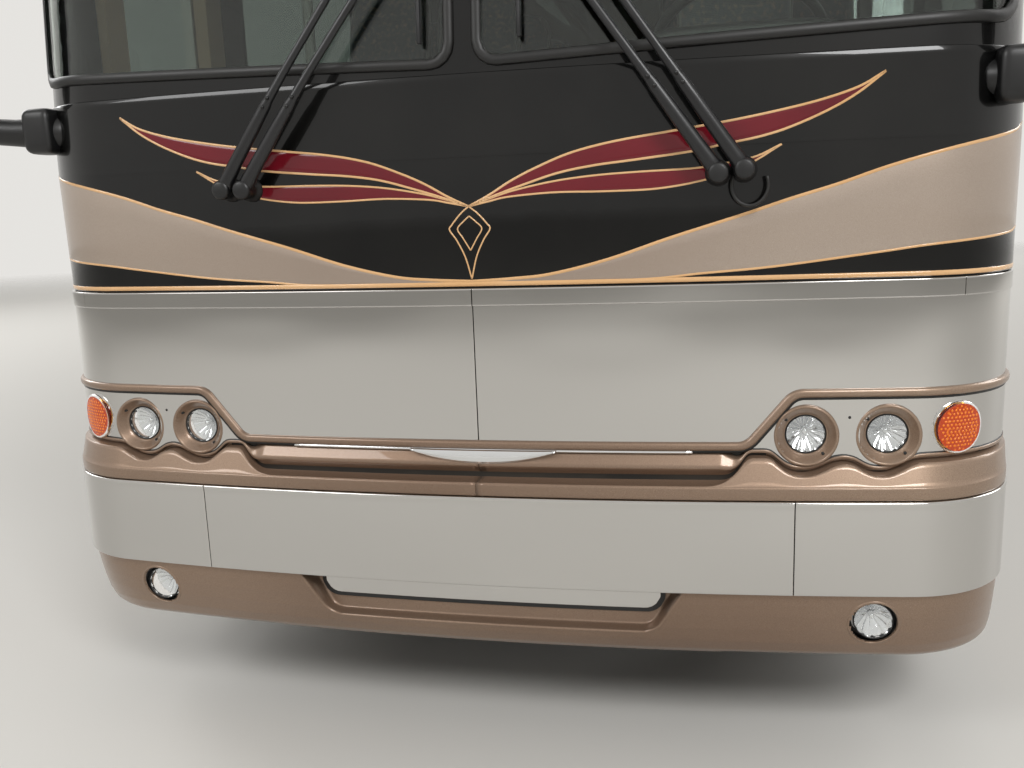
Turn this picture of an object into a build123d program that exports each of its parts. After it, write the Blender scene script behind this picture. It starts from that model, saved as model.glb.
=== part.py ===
from build123d import *
import math
import os

# A three-axle highway coach. Millimetres, +Z up, ground at z 0, the front faces -Y.
# +X is the driver's side, which is on the right of somebody who looks at the front.

# Overall size
BODY_LENGTH = 13716
BODY_WIDTH = 2591
BODY_HEIGHT = 3607
HALF_WIDTH = BODY_WIDTH / 2
NOSE_Y = -BODY_LENGTH / 2
TAIL_Y = BODY_LENGTH / 2

# Plan of the front: a shallow arc, two round corners and straight sides
BAND_PROUD = 50
FACE_Y = NOSE_Y + BAND_PROUD
FRONT_ARC_RADIUS = 9000
CORNER_RADIUS = 300
RAKE = 120
BROW_CORNER = 260
BROW_REACH = FRONT_ARC_RADIUS - RAKE - BROW_CORNER
BROW_DEPTH = FRONT_ARC_RADIUS - math.sqrt(BROW_REACH**2 - (HALF_WIDTH - BROW_CORNER) ** 2)
FRONT_WRAP = round(BROW_DEPTH + 15.5)
FRONT_END_Y = FACE_Y + FRONT_WRAP

# Levels of the front, from the ground up
VALANCE_BOTTOM = 285
BAND_BOTTOM = 476
BAND_TOP = 711
FASCIA_TOP = 821
STEEL_TOP = 1225
CREASE_Z = 1540
PANEL_TOP = 1728
BROW_BOTTOM = BODY_HEIGHT - 647
DECK_TOP = 1330

# Walls and gaps
WALL = 60
SHEET = 10
GAP = 6
SEAT_GAP = 0.3
DECK_THICK = 60
NOSE_WALL = 40

# Body levels along the sides
SKIRT_BOTTOM = 330
SILL_Z = STEEL_TOP
EAVE_Z = BODY_HEIGHT - 407
ROOF_RADIUS = 330
REAR_RADIUS = 300

# Axles
FRONT_AXLE_Y = NOSE_Y + 1930
DRIVE_AXLE_Y = TAIL_Y - 3756
TAG_AXLE_Y = DRIVE_AXLE_Y + 1219
TYRE_RADIUS = 538
TYRE_WIDTH = 312
RIM_RADIUS = 286
ARCH_RADIUS = 640
WHEEL_INSET = 22
TWIN_SPACING = 350

os.makedirs("parts", exist_ok=True)


def save(node, *shapes):
    """Write one node: the solids of all its shapes in one file."""
    solids = [solid for shape in shapes for solid in shape.solids()]
    export_step(Compound(children=solids), "parts/" + node + ".step")


def mirror_pair(shape):
    """A shape and its mirror image across the bus."""
    return [shape, mirror(shape, Plane.YZ)]


def block(x0, x1, y0, y1, z0, z1):
    """A box between two corners."""
    centre = ((x0 + x1) / 2, (y0 + y1) / 2, (z0 + z1) / 2)
    return Pos(*centre) * Box(abs(x1 - x0), abs(y1 - y0), abs(z1 - z0))


def rod(start, end, radius):
    """A round bar from start to end."""
    axis = Vector(*end) - Vector(*start)
    plane = Plane(origin=start, z_dir=axis)
    return extrude(plane * Circle(radius), axis.length)


def plan_face(setback, side_inset=None, corner=None, back=FRONT_WRAP):
    """Plan of the front, set back from the skin at the face and by side_inset at the sides."""
    side_inset = setback if side_inset is None else side_inset
    corner = CORNER_RADIUS - setback if corner is None else corner
    side = HALF_WIDTH - side_inset
    corner_x = side - corner
    reach = FRONT_ARC_RADIUS - setback
    corner_y = FRONT_ARC_RADIUS - math.sqrt((reach - corner) ** 2 - corner_x**2)
    start = math.atan2(corner_y - FRONT_ARC_RADIUS, corner_x)
    tangent = (reach * math.cos(start), FRONT_ARC_RADIUS + reach * math.sin(start))
    middle = (corner_x + corner * math.cos(start / 2), corner_y + corner * math.sin(start / 2))
    end = (side, corner_y)

    def left(point):
        return (-point[0], point[1])

    edges = [
        ThreePointArc(left(tangent), (0, setback), tangent),
        ThreePointArc(tangent, middle, end),
        Line(end, (side, back)),
        Line((side, back), (-side, back)),
        Line((-side, back), left(end)),
        ThreePointArc(left(end), left(middle), left(tangent)),
    ]
    return Pos(0, FACE_Y, 0) * make_face(edges)


def nose_block(setback, z0, z1, **plan):
    """The front's plan carried straight up from z0 to z1."""
    return extrude(Pos(0, 0, z0) * plan_face(setback, **plan), z1 - z0)


def nose_wall(outer, inner, z0, z1, side=None, corner=None):
    """A wall that follows the front's plan and is open to the back."""
    skin = nose_block(outer, z0, z1, side_inset=side, corner=corner)
    core = nose_block(inner, z0 - 1, z1 + 1, back=FRONT_WRAP + 1)
    return skin - core


def nose_loft(sections, **plan):
    """A solid through front plans; each section is (setback, z)."""
    faces = [Pos(0, 0, z) * plan_face(setback, **plan) for setback, z in sections]
    return loft(faces, ruled=True)


def through_front(sketch):
    """A front-view outline (x, z) carried straight back through the whole nose."""
    plane = Plane.XZ.offset(-(FRONT_END_Y + 5))
    return extrude(plane * sketch, FRONT_WRAP + 5 + 60)


def rectangle(x0, x1, z0, z1):
    """A front-view or side-view rectangle between two corners."""
    return Pos((x0 + x1) / 2, (z0 + z1) / 2) * Rectangle(abs(x1 - x0), abs(z1 - z0))


def rounded(x0, x1, z0, z1, radius):
    """A rectangle between two corners, with round corners."""
    centre = Pos((x0 + x1) / 2, (z0 + z1) / 2)
    return centre * RectangleRounded(abs(x1 - x0), abs(z1 - z0), radius)


def through_side(sketch, x0, x1):
    """A side-view outline (y, z) carried across the bus from x0 to x1."""
    return extrude(Plane.YZ.offset(x0) * sketch, x1 - x0)

# Front trim moulding: level in the middle, up beside the headlamps, level round the corners
TRIM_HEIGHT = 23
TRIM_INNER_X = HALF_WIDTH - 640.5
TRIM_OUTER_X = HALF_WIDTH - 533.5
TRIM_LOW_Z = FASCIA_TOP + TRIM_HEIGHT / 2
TRIM_HIGH_Z = 961
TRIM_BEND = 55

# Headlamps and corner signals, as centre x, centre z and radius of the surround
RING_RADIUS = 75
RING_LIP = 6
RING_PROUD = 10
LAMP_RADIUS = 45
LAMP_SETBACK = 18
HEADLAMPS = [(HALF_WIDTH - 504.5, 860), (HALF_WIDTH - 318.5, 860)]
SIGNAL_X, SIGNAL_Z, SIGNAL_RADIUS = HALF_WIDTH - 159.5, 873, 62
FOG_X, FOG_Z, FOG_RADIUS = HALF_WIDTH - 336.5, 395, 57
RING_MOUTH = RING_RADIUS - 12
LAMP_BORE_BACK, LAMP_BORE_FRONT = 120, 60
LAMP_BAY = (HALF_WIDTH - 595.5, HALF_WIDTH - 95.5, 770, 945)
FOG_WELL_DEPTH = 90
PLATE_BOTTOM = 797
PLATE_BRIDGE_BOTTOM = 811
LIP_TOP = 744
SCOOP_Z, SCOOP_RADIUS, SCOOP_HALF = 775, 30, HALF_WIDTH - 675.5
BAND_SEAM_X = HALF_WIDTH - 532.5
LAMP_DEPTH = 60
RECESS = [(-507, 480), (507, 480), (434, 352), (-434, 352)]
RECESS_FLOOR_Y = FACE_Y + 23
BLANK_PLATE = (-450, 450, 408, BAND_BOTTOM)
BLANK_PLATE_THICK = 6


def trim_line():
    """Centre line of the moulding in front view, from side to side."""
    half = [(0, TRIM_LOW_Z), (TRIM_INNER_X, TRIM_LOW_Z), (TRIM_OUTER_X, TRIM_HIGH_Z)]
    right = [(x, z) for x, z in half[1:]] + [(HALF_WIDTH + 50, TRIM_HIGH_Z)]
    left = [(-x, z) for x, z in reversed(right)]
    return FilletPolyline(*(left + right), radius=TRIM_BEND)


def above_trim(top):
    """Front-view region over the moulding's centre line."""
    line = trim_line()
    side = HALF_WIDTH + 50
    closing = Polyline((side, TRIM_HIGH_Z), (side, top), (-side, top), (-side, TRIM_HIGH_Z))
    return make_face(line.edges() + closing.edges())


def lamp_plate_outline():
    """Front view of the right headlamp plate: two lobes under the rings and a level tail."""
    lobes = [Pos(x, z) * Circle(RING_RADIUS + RING_LIP) for x, z in HEADLAMPS]
    bridge = rectangle(HEADLAMPS[0][0], HEADLAMPS[1][0], PLATE_BRIDGE_BOTTOM, TRIM_HIGH_Z)
    tail = rectangle(HEADLAMPS[1][0], HALF_WIDTH + 50, PLATE_BOTTOM, TRIM_HIGH_Z)
    root = rectangle(TRIM_OUTER_X - 60, HEADLAMPS[0][0], HEADLAMPS[0][1], TRIM_HIGH_Z)
    return lobes[0] + lobes[1] + bridge + tail + root


TRIM_STRIP = trace(trim_line(), TRIM_HEIGHT)
ABOVE_TRIM = above_trim(STEEL_TOP)
PLATE_RIGHT = lamp_plate_outline() - ABOVE_TRIM - TRIM_STRIP
PLATES = [PLATE_RIGHT, mirror(PLATE_RIGHT, Plane.YZ)]


def facing(x, z, radius, depth, proud, setback=0):
    """A round plug that points forward at x, z, from proud of the skin to depth behind it."""
    y = FACE_Y + front_depth(x) + setback
    return Pos(x, y, z) * Rot(90, 0, 0) * Pos(0, 0, -depth) * extrude(Circle(radius), depth + proud)


def front_depth(x):
    """How far the skin lies behind the face's centre at x."""
    x = abs(x)
    corner_x = HALF_WIDTH - CORNER_RADIUS
    reach = FRONT_ARC_RADIUS - CORNER_RADIUS
    corner_y = FRONT_ARC_RADIUS - math.sqrt(reach**2 - corner_x**2)
    if x <= corner_x * FRONT_ARC_RADIUS / reach:
        return FRONT_ARC_RADIUS - math.sqrt(FRONT_ARC_RADIUS**2 - x**2)
    return corner_y - math.sqrt(CORNER_RADIUS**2 - (x - corner_x) ** 2)


def signal_frame():
    """Place of the right corner signal, its z axis square to the skin."""
    corner_x = HALF_WIDTH - CORNER_RADIUS
    angle = math.degrees(math.acos((SIGNAL_X - corner_x) / CORNER_RADIUS))
    y = FACE_Y + front_depth(SIGNAL_X)
    return Pos(SIGNAL_X, y, SIGNAL_Z) * Rot(0, 0, -angle) * Rot(0, 90, 0)


def make_front_lower():
    """Steel front panel, moulding, lamp plates, fascia, band and valance."""
    seam = rectangle(-1, 1, 0, STEEL_TOP)
    wide = HALF_WIDTH + 100
    panel = (ABOVE_TRIM - TRIM_STRIP) & rectangle(-wide, wide, 0, STEEL_TOP)
    skin = nose_wall(0, SHEET, BAND_BOTTOM, STEEL_TOP)
    save("front_steel_panel", skin & through_front(panel - seam))

    proud = nose_wall(-8, SHEET, FASCIA_TOP - 60, STEEL_TOP)
    save("front_trim_moulding", proud & through_front(TRIM_STRIP))

    holes = [facing(x, z, RING_MOUTH, LAMP_BORE_BACK, LAMP_BORE_FRONT) for x, z in HEADLAMPS]
    holes.append(signal_frame() * extrude(Circle(SIGNAL_RADIUS - 4), 160, both=True))
    plate = skin & through_front(PLATE_RIGHT)
    for hole in holes:
        plate = plate - hole
    rings, lamps = [], []
    for x, z in HEADLAMPS:
        place = Pos(x, FACE_Y + front_depth(x), z) * Rot(90, 0, 0)
        section = Polyline(
            (RING_RADIUS, -25), (RING_RADIUS, RING_PROUD - 4), (RING_RADIUS - 5, RING_PROUD),
            (LAMP_RADIUS + 2, -LAMP_SETBACK), (LAMP_RADIUS, -LAMP_SETBACK), (LAMP_RADIUS, -60),
            (RING_MOUTH - 1, -60), (RING_MOUTH - 1, -25), close=True,
        )
        ring = place * revolve(Plane.XZ * make_face(section), Axis.Z)
        bore = facing(x, z, RING_MOUTH, LAMP_BORE_BACK, LAMP_BORE_FRONT)
        bed = nose_block(0, z - 100, z + 100) - bore
        rings.append(ring - bed)
        bulb = Pos(0, 0, -LAMP_SETBACK - LAMP_DEPTH / 2) * Cylinder(LAMP_RADIUS, LAMP_DEPTH)
        lamps.append(place * bulb)
    fog = facing(FOG_X, FOG_Z, LAMP_RADIUS, 38, 2)
    save("headlamp_rings", *[piece for ring in rings for piece in mirror_pair(ring)])
    save("front_lamps", *[piece for lamp in lamps + [fog] for piece in mirror_pair(lamp)])

    signal = signal_frame() * Pos(0, 0, -30) * Cylinder(SIGNAL_RADIUS - 5, 80)
    rim = signal_frame() * Pos(0, 0, 8) * (Cylinder(SIGNAL_RADIUS, 8) - Cylinder(SIGNAL_RADIUS - 5, 9))
    save("amber_signals", *mirror_pair(signal + rim))

    below = rectangle(-wide, wide, BAND_TOP, TRIM_HIGH_Z + 5) - ABOVE_TRIM - TRIM_STRIP
    for plate_outline in PLATES:
        below = below - plate_outline
    lip = BAND_PROUD - 4
    sections = [(-lip, BAND_TOP), (-lip, LIP_TOP), (-22, 800), (-6, 836), (-2, TRIM_HIGH_Z + 6)]
    outer = nose_loft(sections, side_inset=-2, corner=CORNER_RADIUS)
    hollow = nose_block(SHEET, BAND_TOP - 1, TRIM_HIGH_Z + 7, back=FRONT_WRAP + 1)
    scoop = Pos(0, FACE_Y + FRONT_ARC_RADIUS, SCOOP_Z) * Torus(FRONT_ARC_RADIUS + 30, SCOOP_RADIUS)
    scoop = scoop & block(-SCOOP_HALF, SCOOP_HALF, NOSE_Y - 60, FRONT_END_Y, BAND_TOP, FASCIA_TOP + 30)
    fascia = (outer - hollow) & through_front(below)
    save("bumper_fascia", fascia - scoop)

    band = nose_block(-BAND_PROUD, BAND_BOTTOM, BAND_TOP, side_inset=-4, corner=CORNER_RADIUS)
    band = band - nose_block(-6, BAND_BOTTOM - 1, BAND_TOP + 1, side_inset=4, back=FRONT_WRAP + 1)
    for x in (-BAND_SEAM_X, BAND_SEAM_X):
        band = band - block(x - 1, x + 1, NOSE_Y - 60, FACE_Y + 200, BAND_BOTTOM - 1, BAND_TOP + 1)
    save("bumper_steel_band", band)
    return mirror_pair(plate)


def make_valance():
    """Bronze lower valance with the plate recess and fog-lamp wells."""
    sections = [(38, VALANCE_BOTTOM), (2, 330), (-30, 440), (-36, BAND_BOTTOM)]
    outer = nose_loft(sections, side_inset=2, corner=CORNER_RADIUS)
    inner = nose_block(60, VALANCE_BOTTOM - 1, BAND_BOTTOM + 1, back=FRONT_WRAP + 1)
    recess = make_face(Polyline(*RECESS, close=True))
    recess = fillet(recess.vertices().sort_by(Axis.Y)[:2], 30)
    ahead = block(-HALF_WIDTH, HALF_WIDTH, NOSE_Y - 60, RECESS_FLOOR_Y, VALANCE_BOTTOM, BAND_TOP)
    valance = outer - inner - (through_front(recess) & ahead)
    for x in (-FOG_X, FOG_X):
        valance = valance - facing(x, FOG_Z, FOG_RADIUS, -2, FOG_WELL_DEPTH)
        valance = valance - facing(x, FOG_Z, LAMP_RADIUS + SEAT_GAP, LAMP_BORE_BACK, 5)
    save("bumper_valance", valance)
    plate = fillet(rectangle(*BLANK_PLATE).vertices().sort_by(Axis.Y)[:2], 40)
    front_y = RECESS_FLOOR_Y - BLANK_PLATE_THICK
    slab = block(-HALF_WIDTH, HALF_WIDTH, front_y, RECESS_FLOOR_Y, VALANCE_BOTTOM, BAND_TOP)
    return [through_front(plate) & slab]


POLISHED_PLATES = make_front_lower() + make_valance()
save("polished_plates", *POLISHED_PLATES)

# Windshield: two panes in a raked frame, and the brow above them
GLASS_THICK = 12
POST_HALF = 21
GASKET = 26
PANE_SIDE_X = HALF_WIDTH - 52.5
PANE_TOP_Z = BROW_BOTTOM - 70
PANE_RADIUS = 60


def raked(outer, inner):
    """A raked wall between two setbacks, from the top of the panel to the brow."""
    return raked_solid(outer, FRONT_WRAP) - raked_solid(inner, FRONT_WRAP + 1)


def raked_solid(inset, back):
    """The nose between the panel and the brow, drawn in by inset."""
    foot = plan_face(inset, back=back)
    head = plan_face(RAKE + inset, side_inset=inset, corner=BROW_CORNER - inset, back=back)
    return loft([Pos(0, 0, PANEL_TOP) * foot, Pos(0, 0, BROW_BOTTOM) * head], ruled=True)


def pane_outline(margin):
    """Front view of the right pane, drawn in by margin on every side."""
    corners = [
        (POST_HALF + margin, PANEL_TOP + 10 + margin),
        (PANE_SIDE_X - margin, PANEL_TOP + 50 + margin),
        (PANE_SIDE_X - margin, PANE_TOP_Z - margin),
        (POST_HALF + margin, PANE_TOP_Z - margin),
    ]
    face = make_face(Polyline(*corners, close=True))
    return fillet(face.vertices(), PANE_RADIUS - margin)


def upper_panel_solid():
    """Outer form of the painted panel, with its crease."""
    return nose_loft([(8, STEEL_TOP), (3, CREASE_Z), (9, PANEL_TOP)])


def make_front_upper():
    """Black panel, windshield frame, gasket, panes and the brow."""
    core = nose_block(9 + SHEET, STEEL_TOP - 1, PANEL_TOP + 1, back=FRONT_WRAP + 1)
    panel = upper_panel_solid() - core
    save("front_upper_panel", panel)

    backing = nose_wall(9 + SHEET, 9 + SHEET + NOSE_WALL, STEEL_TOP, PANEL_TOP)
    lower = nose_wall(SHEET, SHEET + NOSE_WALL, BAND_BOTTOM, STEEL_TOP)
    x0, x1, z0, z1 = LAMP_BAY
    for s in (-1, 1):
        lower = lower - block(s * x0, s * x1, NOSE_Y, FACE_Y + 400, z0, z1)
    save("nose_frame", lower, backing)

    frame = raked(9, 9 + NOSE_WALL)
    rings, panes = [], []
    for side in (1, -1):
        opening, bead = pane_outline(0), pane_outline(GASKET)
        if side < 0:
            opening, bead = mirror(opening, Plane.YZ), mirror(bead, Plane.YZ)
        frame = frame - through_front(opening)
        rings.append(raked(4, 4 + GLASS_THICK + 14) & through_front(opening - bead))
        panes.append(raked(8, 8 + GLASS_THICK) & through_front(bead))
    save("windshield_frame", frame)
    save("windshield_gasket", *rings)
    save("windshield", *panes)


BROW_RADIUS = 330
ROOF_CROWN = 60
SHOULDER_EASE = 4


def roof_arcs(inset):
    """Rear view of the body's top edge: a shallow crown between two round shoulders."""
    side = HALF_WIDTH - inset
    radius = ROOF_RADIUS - inset
    shoulder = BODY_HEIGHT - ROOF_CROWN - inset
    spring = shoulder - radius
    fall = radius * (1 - math.cos(math.pi / 4)) + SHOULDER_EASE
    bend = (side - fall, shoulder - fall)
    inner = (side - radius, shoulder)
    return spring, [
        ThreePointArc((side, spring), bend, inner),
        ThreePointArc(inner, (0, BODY_HEIGHT - inset), (-inner[0], inner[1])),
        ThreePointArc((-inner[0], inner[1]), (-bend[0], bend[1]), (-side, spring)),
    ]


def roof_section(inset):
    """Rear view of the body over the eaves."""
    side = HALF_WIDTH - inset
    spring, arcs = roof_arcs(inset)
    walls = Polyline((-side, spring), (-side, EAVE_Z), (side, EAVE_Z), (side, spring))
    return make_face(arcs + list(walls.edges()))


def over_roof(inset, y0, y1):
    """What lies over and beside the roof's round shoulders, to cut a cap's top with."""
    side = HALF_WIDTH - inset
    far, high = side + 200, BODY_HEIGHT + 400
    spring, arcs = roof_arcs(inset)
    around = Polyline(
        (-side, spring), (-far, spring), (-far, high), (far, high), (far, spring), (side, spring)
    )
    face = make_face(arcs + list(around.edges()))
    return extrude(Plane.XZ.offset(-y1) * face, y1 - y0)


def roof_length(inset, y0, y1):
    """The body over the eaves between two stations."""
    return extrude(Plane.XZ.offset(-y1) * roof_section(inset), y1 - y0)


def brow_profile(inset):
    """Side view of the front cap: raked like the glass, then round into the roof."""
    front = FACE_Y + RAKE + inset - 15
    radius = BROW_RADIUS - inset
    bend = radius * (1 - math.cos(math.pi / 4))
    crown = BODY_HEIGHT + 15 - inset
    edges = [
        Line((front, BROW_BOTTOM), (front, crown - radius)),
        ThreePointArc((front, crown - radius), (front + bend, crown - bend), (front + radius, crown)),
        Line((front + radius, crown), (FRONT_END_Y + 1, crown)),
        Line((FRONT_END_Y + 1, crown), (FRONT_END_Y + 1, BROW_BOTTOM)),
        Line((FRONT_END_Y + 1, BROW_BOTTOM), (front, BROW_BOTTOM)),
    ]
    return make_face(edges)


def brow_solid(inset, back):
    """The front cap's outer form, drawn in by inset."""
    base = plan_face(RAKE + inset, side_inset=inset, corner=BROW_CORNER - inset, back=back)
    plan = extrude(Pos(0, 0, BROW_BOTTOM) * base, BODY_HEIGHT)
    side = through_side(brow_profile(inset), -HALF_WIDTH - 10, HALF_WIDTH + 10)
    return (plan & side) - over_roof(inset, NOSE_Y, FRONT_END_Y + 2)


def make_brow():
    """The cap over the windshield."""
    save("front_cap", brow_solid(0, FRONT_WRAP) - brow_solid(WALL, FRONT_WRAP + 1))


make_front_upper()
make_brow()

# Sides: stations along the bus
REAR_START_Y = TAIL_Y - 420
DOOR_FRONT_Y = FRONT_END_Y + GAP
DOOR_REAR_Y = DOOR_FRONT_Y + 742
DOOR_BOTTOM = 380
DOOR_TOP = EAVE_Z - 300
BAY_FRONT_Y = FRONT_AXLE_Y + ARCH_RADIUS + 60
BAY_REAR_Y = DRIVE_AXLE_Y - ARCH_RADIUS - 30
BAY_COUNT = 3
BAY_PITCH = (BAY_REAR_Y - BAY_FRONT_Y) / BAY_COUNT
HINGE_DROP = 23
HINGE_RADIUS = 8
HINGE_COUNT = 7
HINGE_PLATE = 8
HINGE_EASE = 1
HINGE_MARGIN = 60
DOOR_PIN_SETBACK = 12
DOOR_STILE = 110
LOWER_PANE_BOTTOM = 900
LEAF_REACH = HINGE_RADIUS + 1
EAR_REACH = HINGE_DROP - LEAF_REACH
PIN_RADIUS = 5
PIN_CLEARANCE = 0.05
INNER_X = HALF_WIDTH - WALL
WINDOW_BOTTOM = 1850
WINDOW_TOP = EAVE_Z - 440
WINDOW_RADIUS = 90
WINDOW_FRONT_Y = DOOR_REAR_Y + 180
WINDOW_COUNT = 8
WINDOW_END_Y = REAR_START_Y - 564
WINDOW_PITCH = (WINDOW_END_Y - WINDOW_FRONT_Y) / WINDOW_COUNT
PILLAR = 110
FRONT_WINDOW_DROP = 60
PANE_THICK = 10
DECK_BOTTOM = DECK_TOP - DECK_THICK


def passenger_windows(side):
    """Side-view outlines of the windows on one side; +1 is the driver's side."""
    windows = []
    for index in range(WINDOW_COUNT):
        start = WINDOW_FRONT_Y + index * WINDOW_PITCH
        end = start + WINDOW_PITCH - PILLAR
        windows.append(rounded(start, end, WINDOW_BOTTOM, WINDOW_TOP, WINDOW_RADIUS))
    if side > 0:
        start, low = DOOR_FRONT_Y + 80, WINDOW_BOTTOM - FRONT_WINDOW_DROP
        windows.append(rounded(start, DOOR_REAR_Y, low, WINDOW_TOP, WINDOW_RADIUS))
    return windows


def on_side(side, outline, outer, inner):
    """A side-view outline carried between two insets from the skin of one side."""
    x0, x1 = side * (HALF_WIDTH - inner), side * (HALF_WIDTH - outer)
    return through_side(outline, min(x0, x1), max(x0, x1))


def make_sides():
    """Upper side walls, windows and skirts."""
    walls, panes, skirts = [], [], []
    for side in (1, -1):
        outline = rectangle(FRONT_END_Y, REAR_START_Y, SILL_Z, EAVE_Z)
        if side < 0:
            outline = outline - rectangle(FRONT_END_Y - 1, DOOR_REAR_Y + GAP, SILL_Z - 1, DOOR_TOP + GAP)
        for window in passenger_windows(side):
            outline = outline - window
            panes.append(on_side(side, window, 1, 1 + PANE_THICK))
        walls.append(on_side(side, outline, 0, WALL))
        start = FRONT_END_Y if side > 0 else DOOR_REAR_Y + GAP
        front = rectangle(start, BAY_FRONT_Y - GAP, SKIRT_BOTTOM, SILL_Z)
        front = front - Pos(FRONT_AXLE_Y, TYRE_RADIUS) * Circle(ARCH_RADIUS)
        rear = rectangle(BAY_REAR_Y, REAR_START_Y, SKIRT_BOTTOM, SILL_Z)
        for axle_y in (DRIVE_AXLE_Y, TAG_AXLE_Y):
            rear = rear - Pos(axle_y, TYRE_RADIUS) * Circle(ARCH_RADIUS)
        rear = rear - rectangle(DRIVE_AXLE_Y, TAG_AXLE_Y, 0, TYRE_RADIUS + ARCH_RADIUS)
        skirts += [on_side(side, front, 0, WALL), on_side(side, rear, 0, WALL)]
    save("side_walls", *walls)
    save("skirt_panels", *skirts)
    return panes


def flange(start, end, reach):
    """A plate that stands out by reach from the line between two points."""
    spans = []
    for low, high, out in zip(start, end, reach):
        half = HINGE_PLATE / 2 if low == high + out else 0
        spans += [low - half, high + out + half]
    return block(*spans)


def hinge(start, end, ear_reach, leaf_reach):
    """Pin with its ears, and the leaf's knuckles, along the line from start to end."""

    def station(share):
        return [a + (b - a) * share for a, b in zip(start, end)]

    ease = HINGE_EASE / math.dist(start, end)
    pin = rod(start, end, PIN_RADIUS)
    bore = rod(start, end, PIN_RADIUS + PIN_CLEARANCE)
    leaf = []
    for index in range(HINGE_COUNT):
        low, high = index / HINGE_COUNT, (index + 1) / HINGE_COUNT
        if index % 2 == 0:
            a, b = station(low), station(high)
            pin = pin + rod(a, b, HINGE_RADIUS) + flange(a, b, ear_reach)
        else:
            a, b = station(low + ease), station(high - ease)
            leaf.append(rod(a, b, HINGE_RADIUS) + flange(a, b, leaf_reach) - bore)
    return pin, leaf


def make_luggage_doors():
    """Three top-hinged doors a side and their fixed hinge pins."""
    pins = []
    axis_z = SILL_Z - EAR_REACH
    for side, name in ((1, "left"), (-1, "right")):
        for index in range(BAY_COUNT):
            y0 = BAY_FRONT_Y + index * BAY_PITCH + GAP / 2
            y1 = y0 + BAY_PITCH - GAP
            panel = on_side(side, rectangle(y0, y1, SKIRT_BOTTOM, SILL_Z - HINGE_DROP), 0, WALL)
            x = side * (HALF_WIDTH - HINGE_RADIUS)
            ends = (x, y0 + HINGE_MARGIN, axis_z), (x, y1 - HINGE_MARGIN, axis_z)
            pin, leaf = hinge(*ends, (0, 0, EAR_REACH), (0, 0, -LEAF_REACH))
            for knuckle in leaf:
                panel = panel + knuckle
            pins.append(pin)
            save("luggage_door_" + name + "_" + str(index + 1), panel)
    return pins


def make_entrance_door():
    """Full-height door behind the curb-side front corner, hinged at its front edge."""
    x = -(HALF_WIDTH - HINGE_RADIUS)
    y = DOOR_FRONT_Y + DOOR_PIN_SETBACK
    outline = rectangle(y + LEAF_REACH, DOOR_REAR_Y, DOOR_BOTTOM, DOOR_TOP)
    start, end = y + DOOR_STILE, DOOR_REAR_Y - DOOR_STILE
    window = rounded(start, end, WINDOW_BOTTOM - FRONT_WINDOW_DROP, WINDOW_TOP, WINDOW_RADIUS)
    lower = rounded(start, end, LOWER_PANE_BOTTOM, WINDOW_BOTTOM - 160, WINDOW_RADIUS)
    door = on_side(-1, outline - window - lower, 0, WALL)
    ends = (x, y, DOOR_BOTTOM), (x, y, DOOR_TOP)
    pin, leaf = hinge(*ends, (0, FRONT_END_Y - y, 0), (0, LEAF_REACH, 0))
    for knuckle in leaf:
        door = door + knuckle
    save("entrance_door", door)
    glass = [on_side(-1, pane, 1, 1 + PANE_THICK) for pane in (window, lower)]
    save("entrance_door_glass", *glass)
    return pin


# Rear: a cap with round corners, an engine door and a bumper
BUMPER_PROUD = 40
REAR_FACE_Y = TAIL_Y - BUMPER_PROUD
CAP_BOTTOM = 700
ENGINE_DOOR_X = HALF_WIDTH - 435.5
ENGINE_DOOR = (-ENGINE_DOOR_X, ENGINE_DOOR_X, CAP_BOTTOM, 1500)
REAR_WINDOW_X = HALF_WIDTH - 535.5
REAR_WINDOW = (-REAR_WINDOW_X, REAR_WINDOW_X, 1900, WINDOW_TOP - 200)
TAIL_LAMP_X, TAIL_LAMPS_Z, TAIL_LAMP_RADIUS = HALF_WIDTH - 235.5, (900, 1040, 1180), 52
BUMPER_BOTTOM = 420
BUMPER_CORNER = 280
BUMPER_WALL_CORNER = 240


def rear_plan(inset, face_y):
    """Plan of the tail, with round corners at the back."""
    side = HALF_WIDTH - inset
    back = face_y - inset
    face = rectangle(-side, side, REAR_START_Y - (1 if inset else 0), back)
    return fillet(face.vertices().sort_by(Axis.Y)[2:], REAR_RADIUS - inset)


def rear_solid(inset):
    """Outer form of the tail, drawn in by inset."""
    plan = extrude(Pos(0, 0, CAP_BOTTOM - (1 if inset else 0)) * rear_plan(inset, REAR_FACE_Y), BODY_HEIGHT)
    radius = REAR_RADIUS - inset
    crown = BODY_HEIGHT + 15 - inset
    back = REAR_FACE_Y - inset + 15
    bend = radius * (1 - math.cos(math.pi / 4))
    start = REAR_START_Y - 5
    profile = make_face(
        [
            Line((start, CAP_BOTTOM - 2), (back, CAP_BOTTOM - 2)),
            Line((back, CAP_BOTTOM - 2), (back, crown - radius)),
            ThreePointArc((back, crown - radius), (back - bend, crown - bend), (back - radius, crown)),
            Line((back - radius, crown), (start, crown)),
            Line((start, crown), (start, CAP_BOTTOM - 2)),
        ]
    )
    side = through_side(profile, -HALF_WIDTH - 10, HALF_WIDTH + 10)
    return (plan & side) - over_roof(inset, REAR_START_Y - 2, TAIL_Y)


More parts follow.
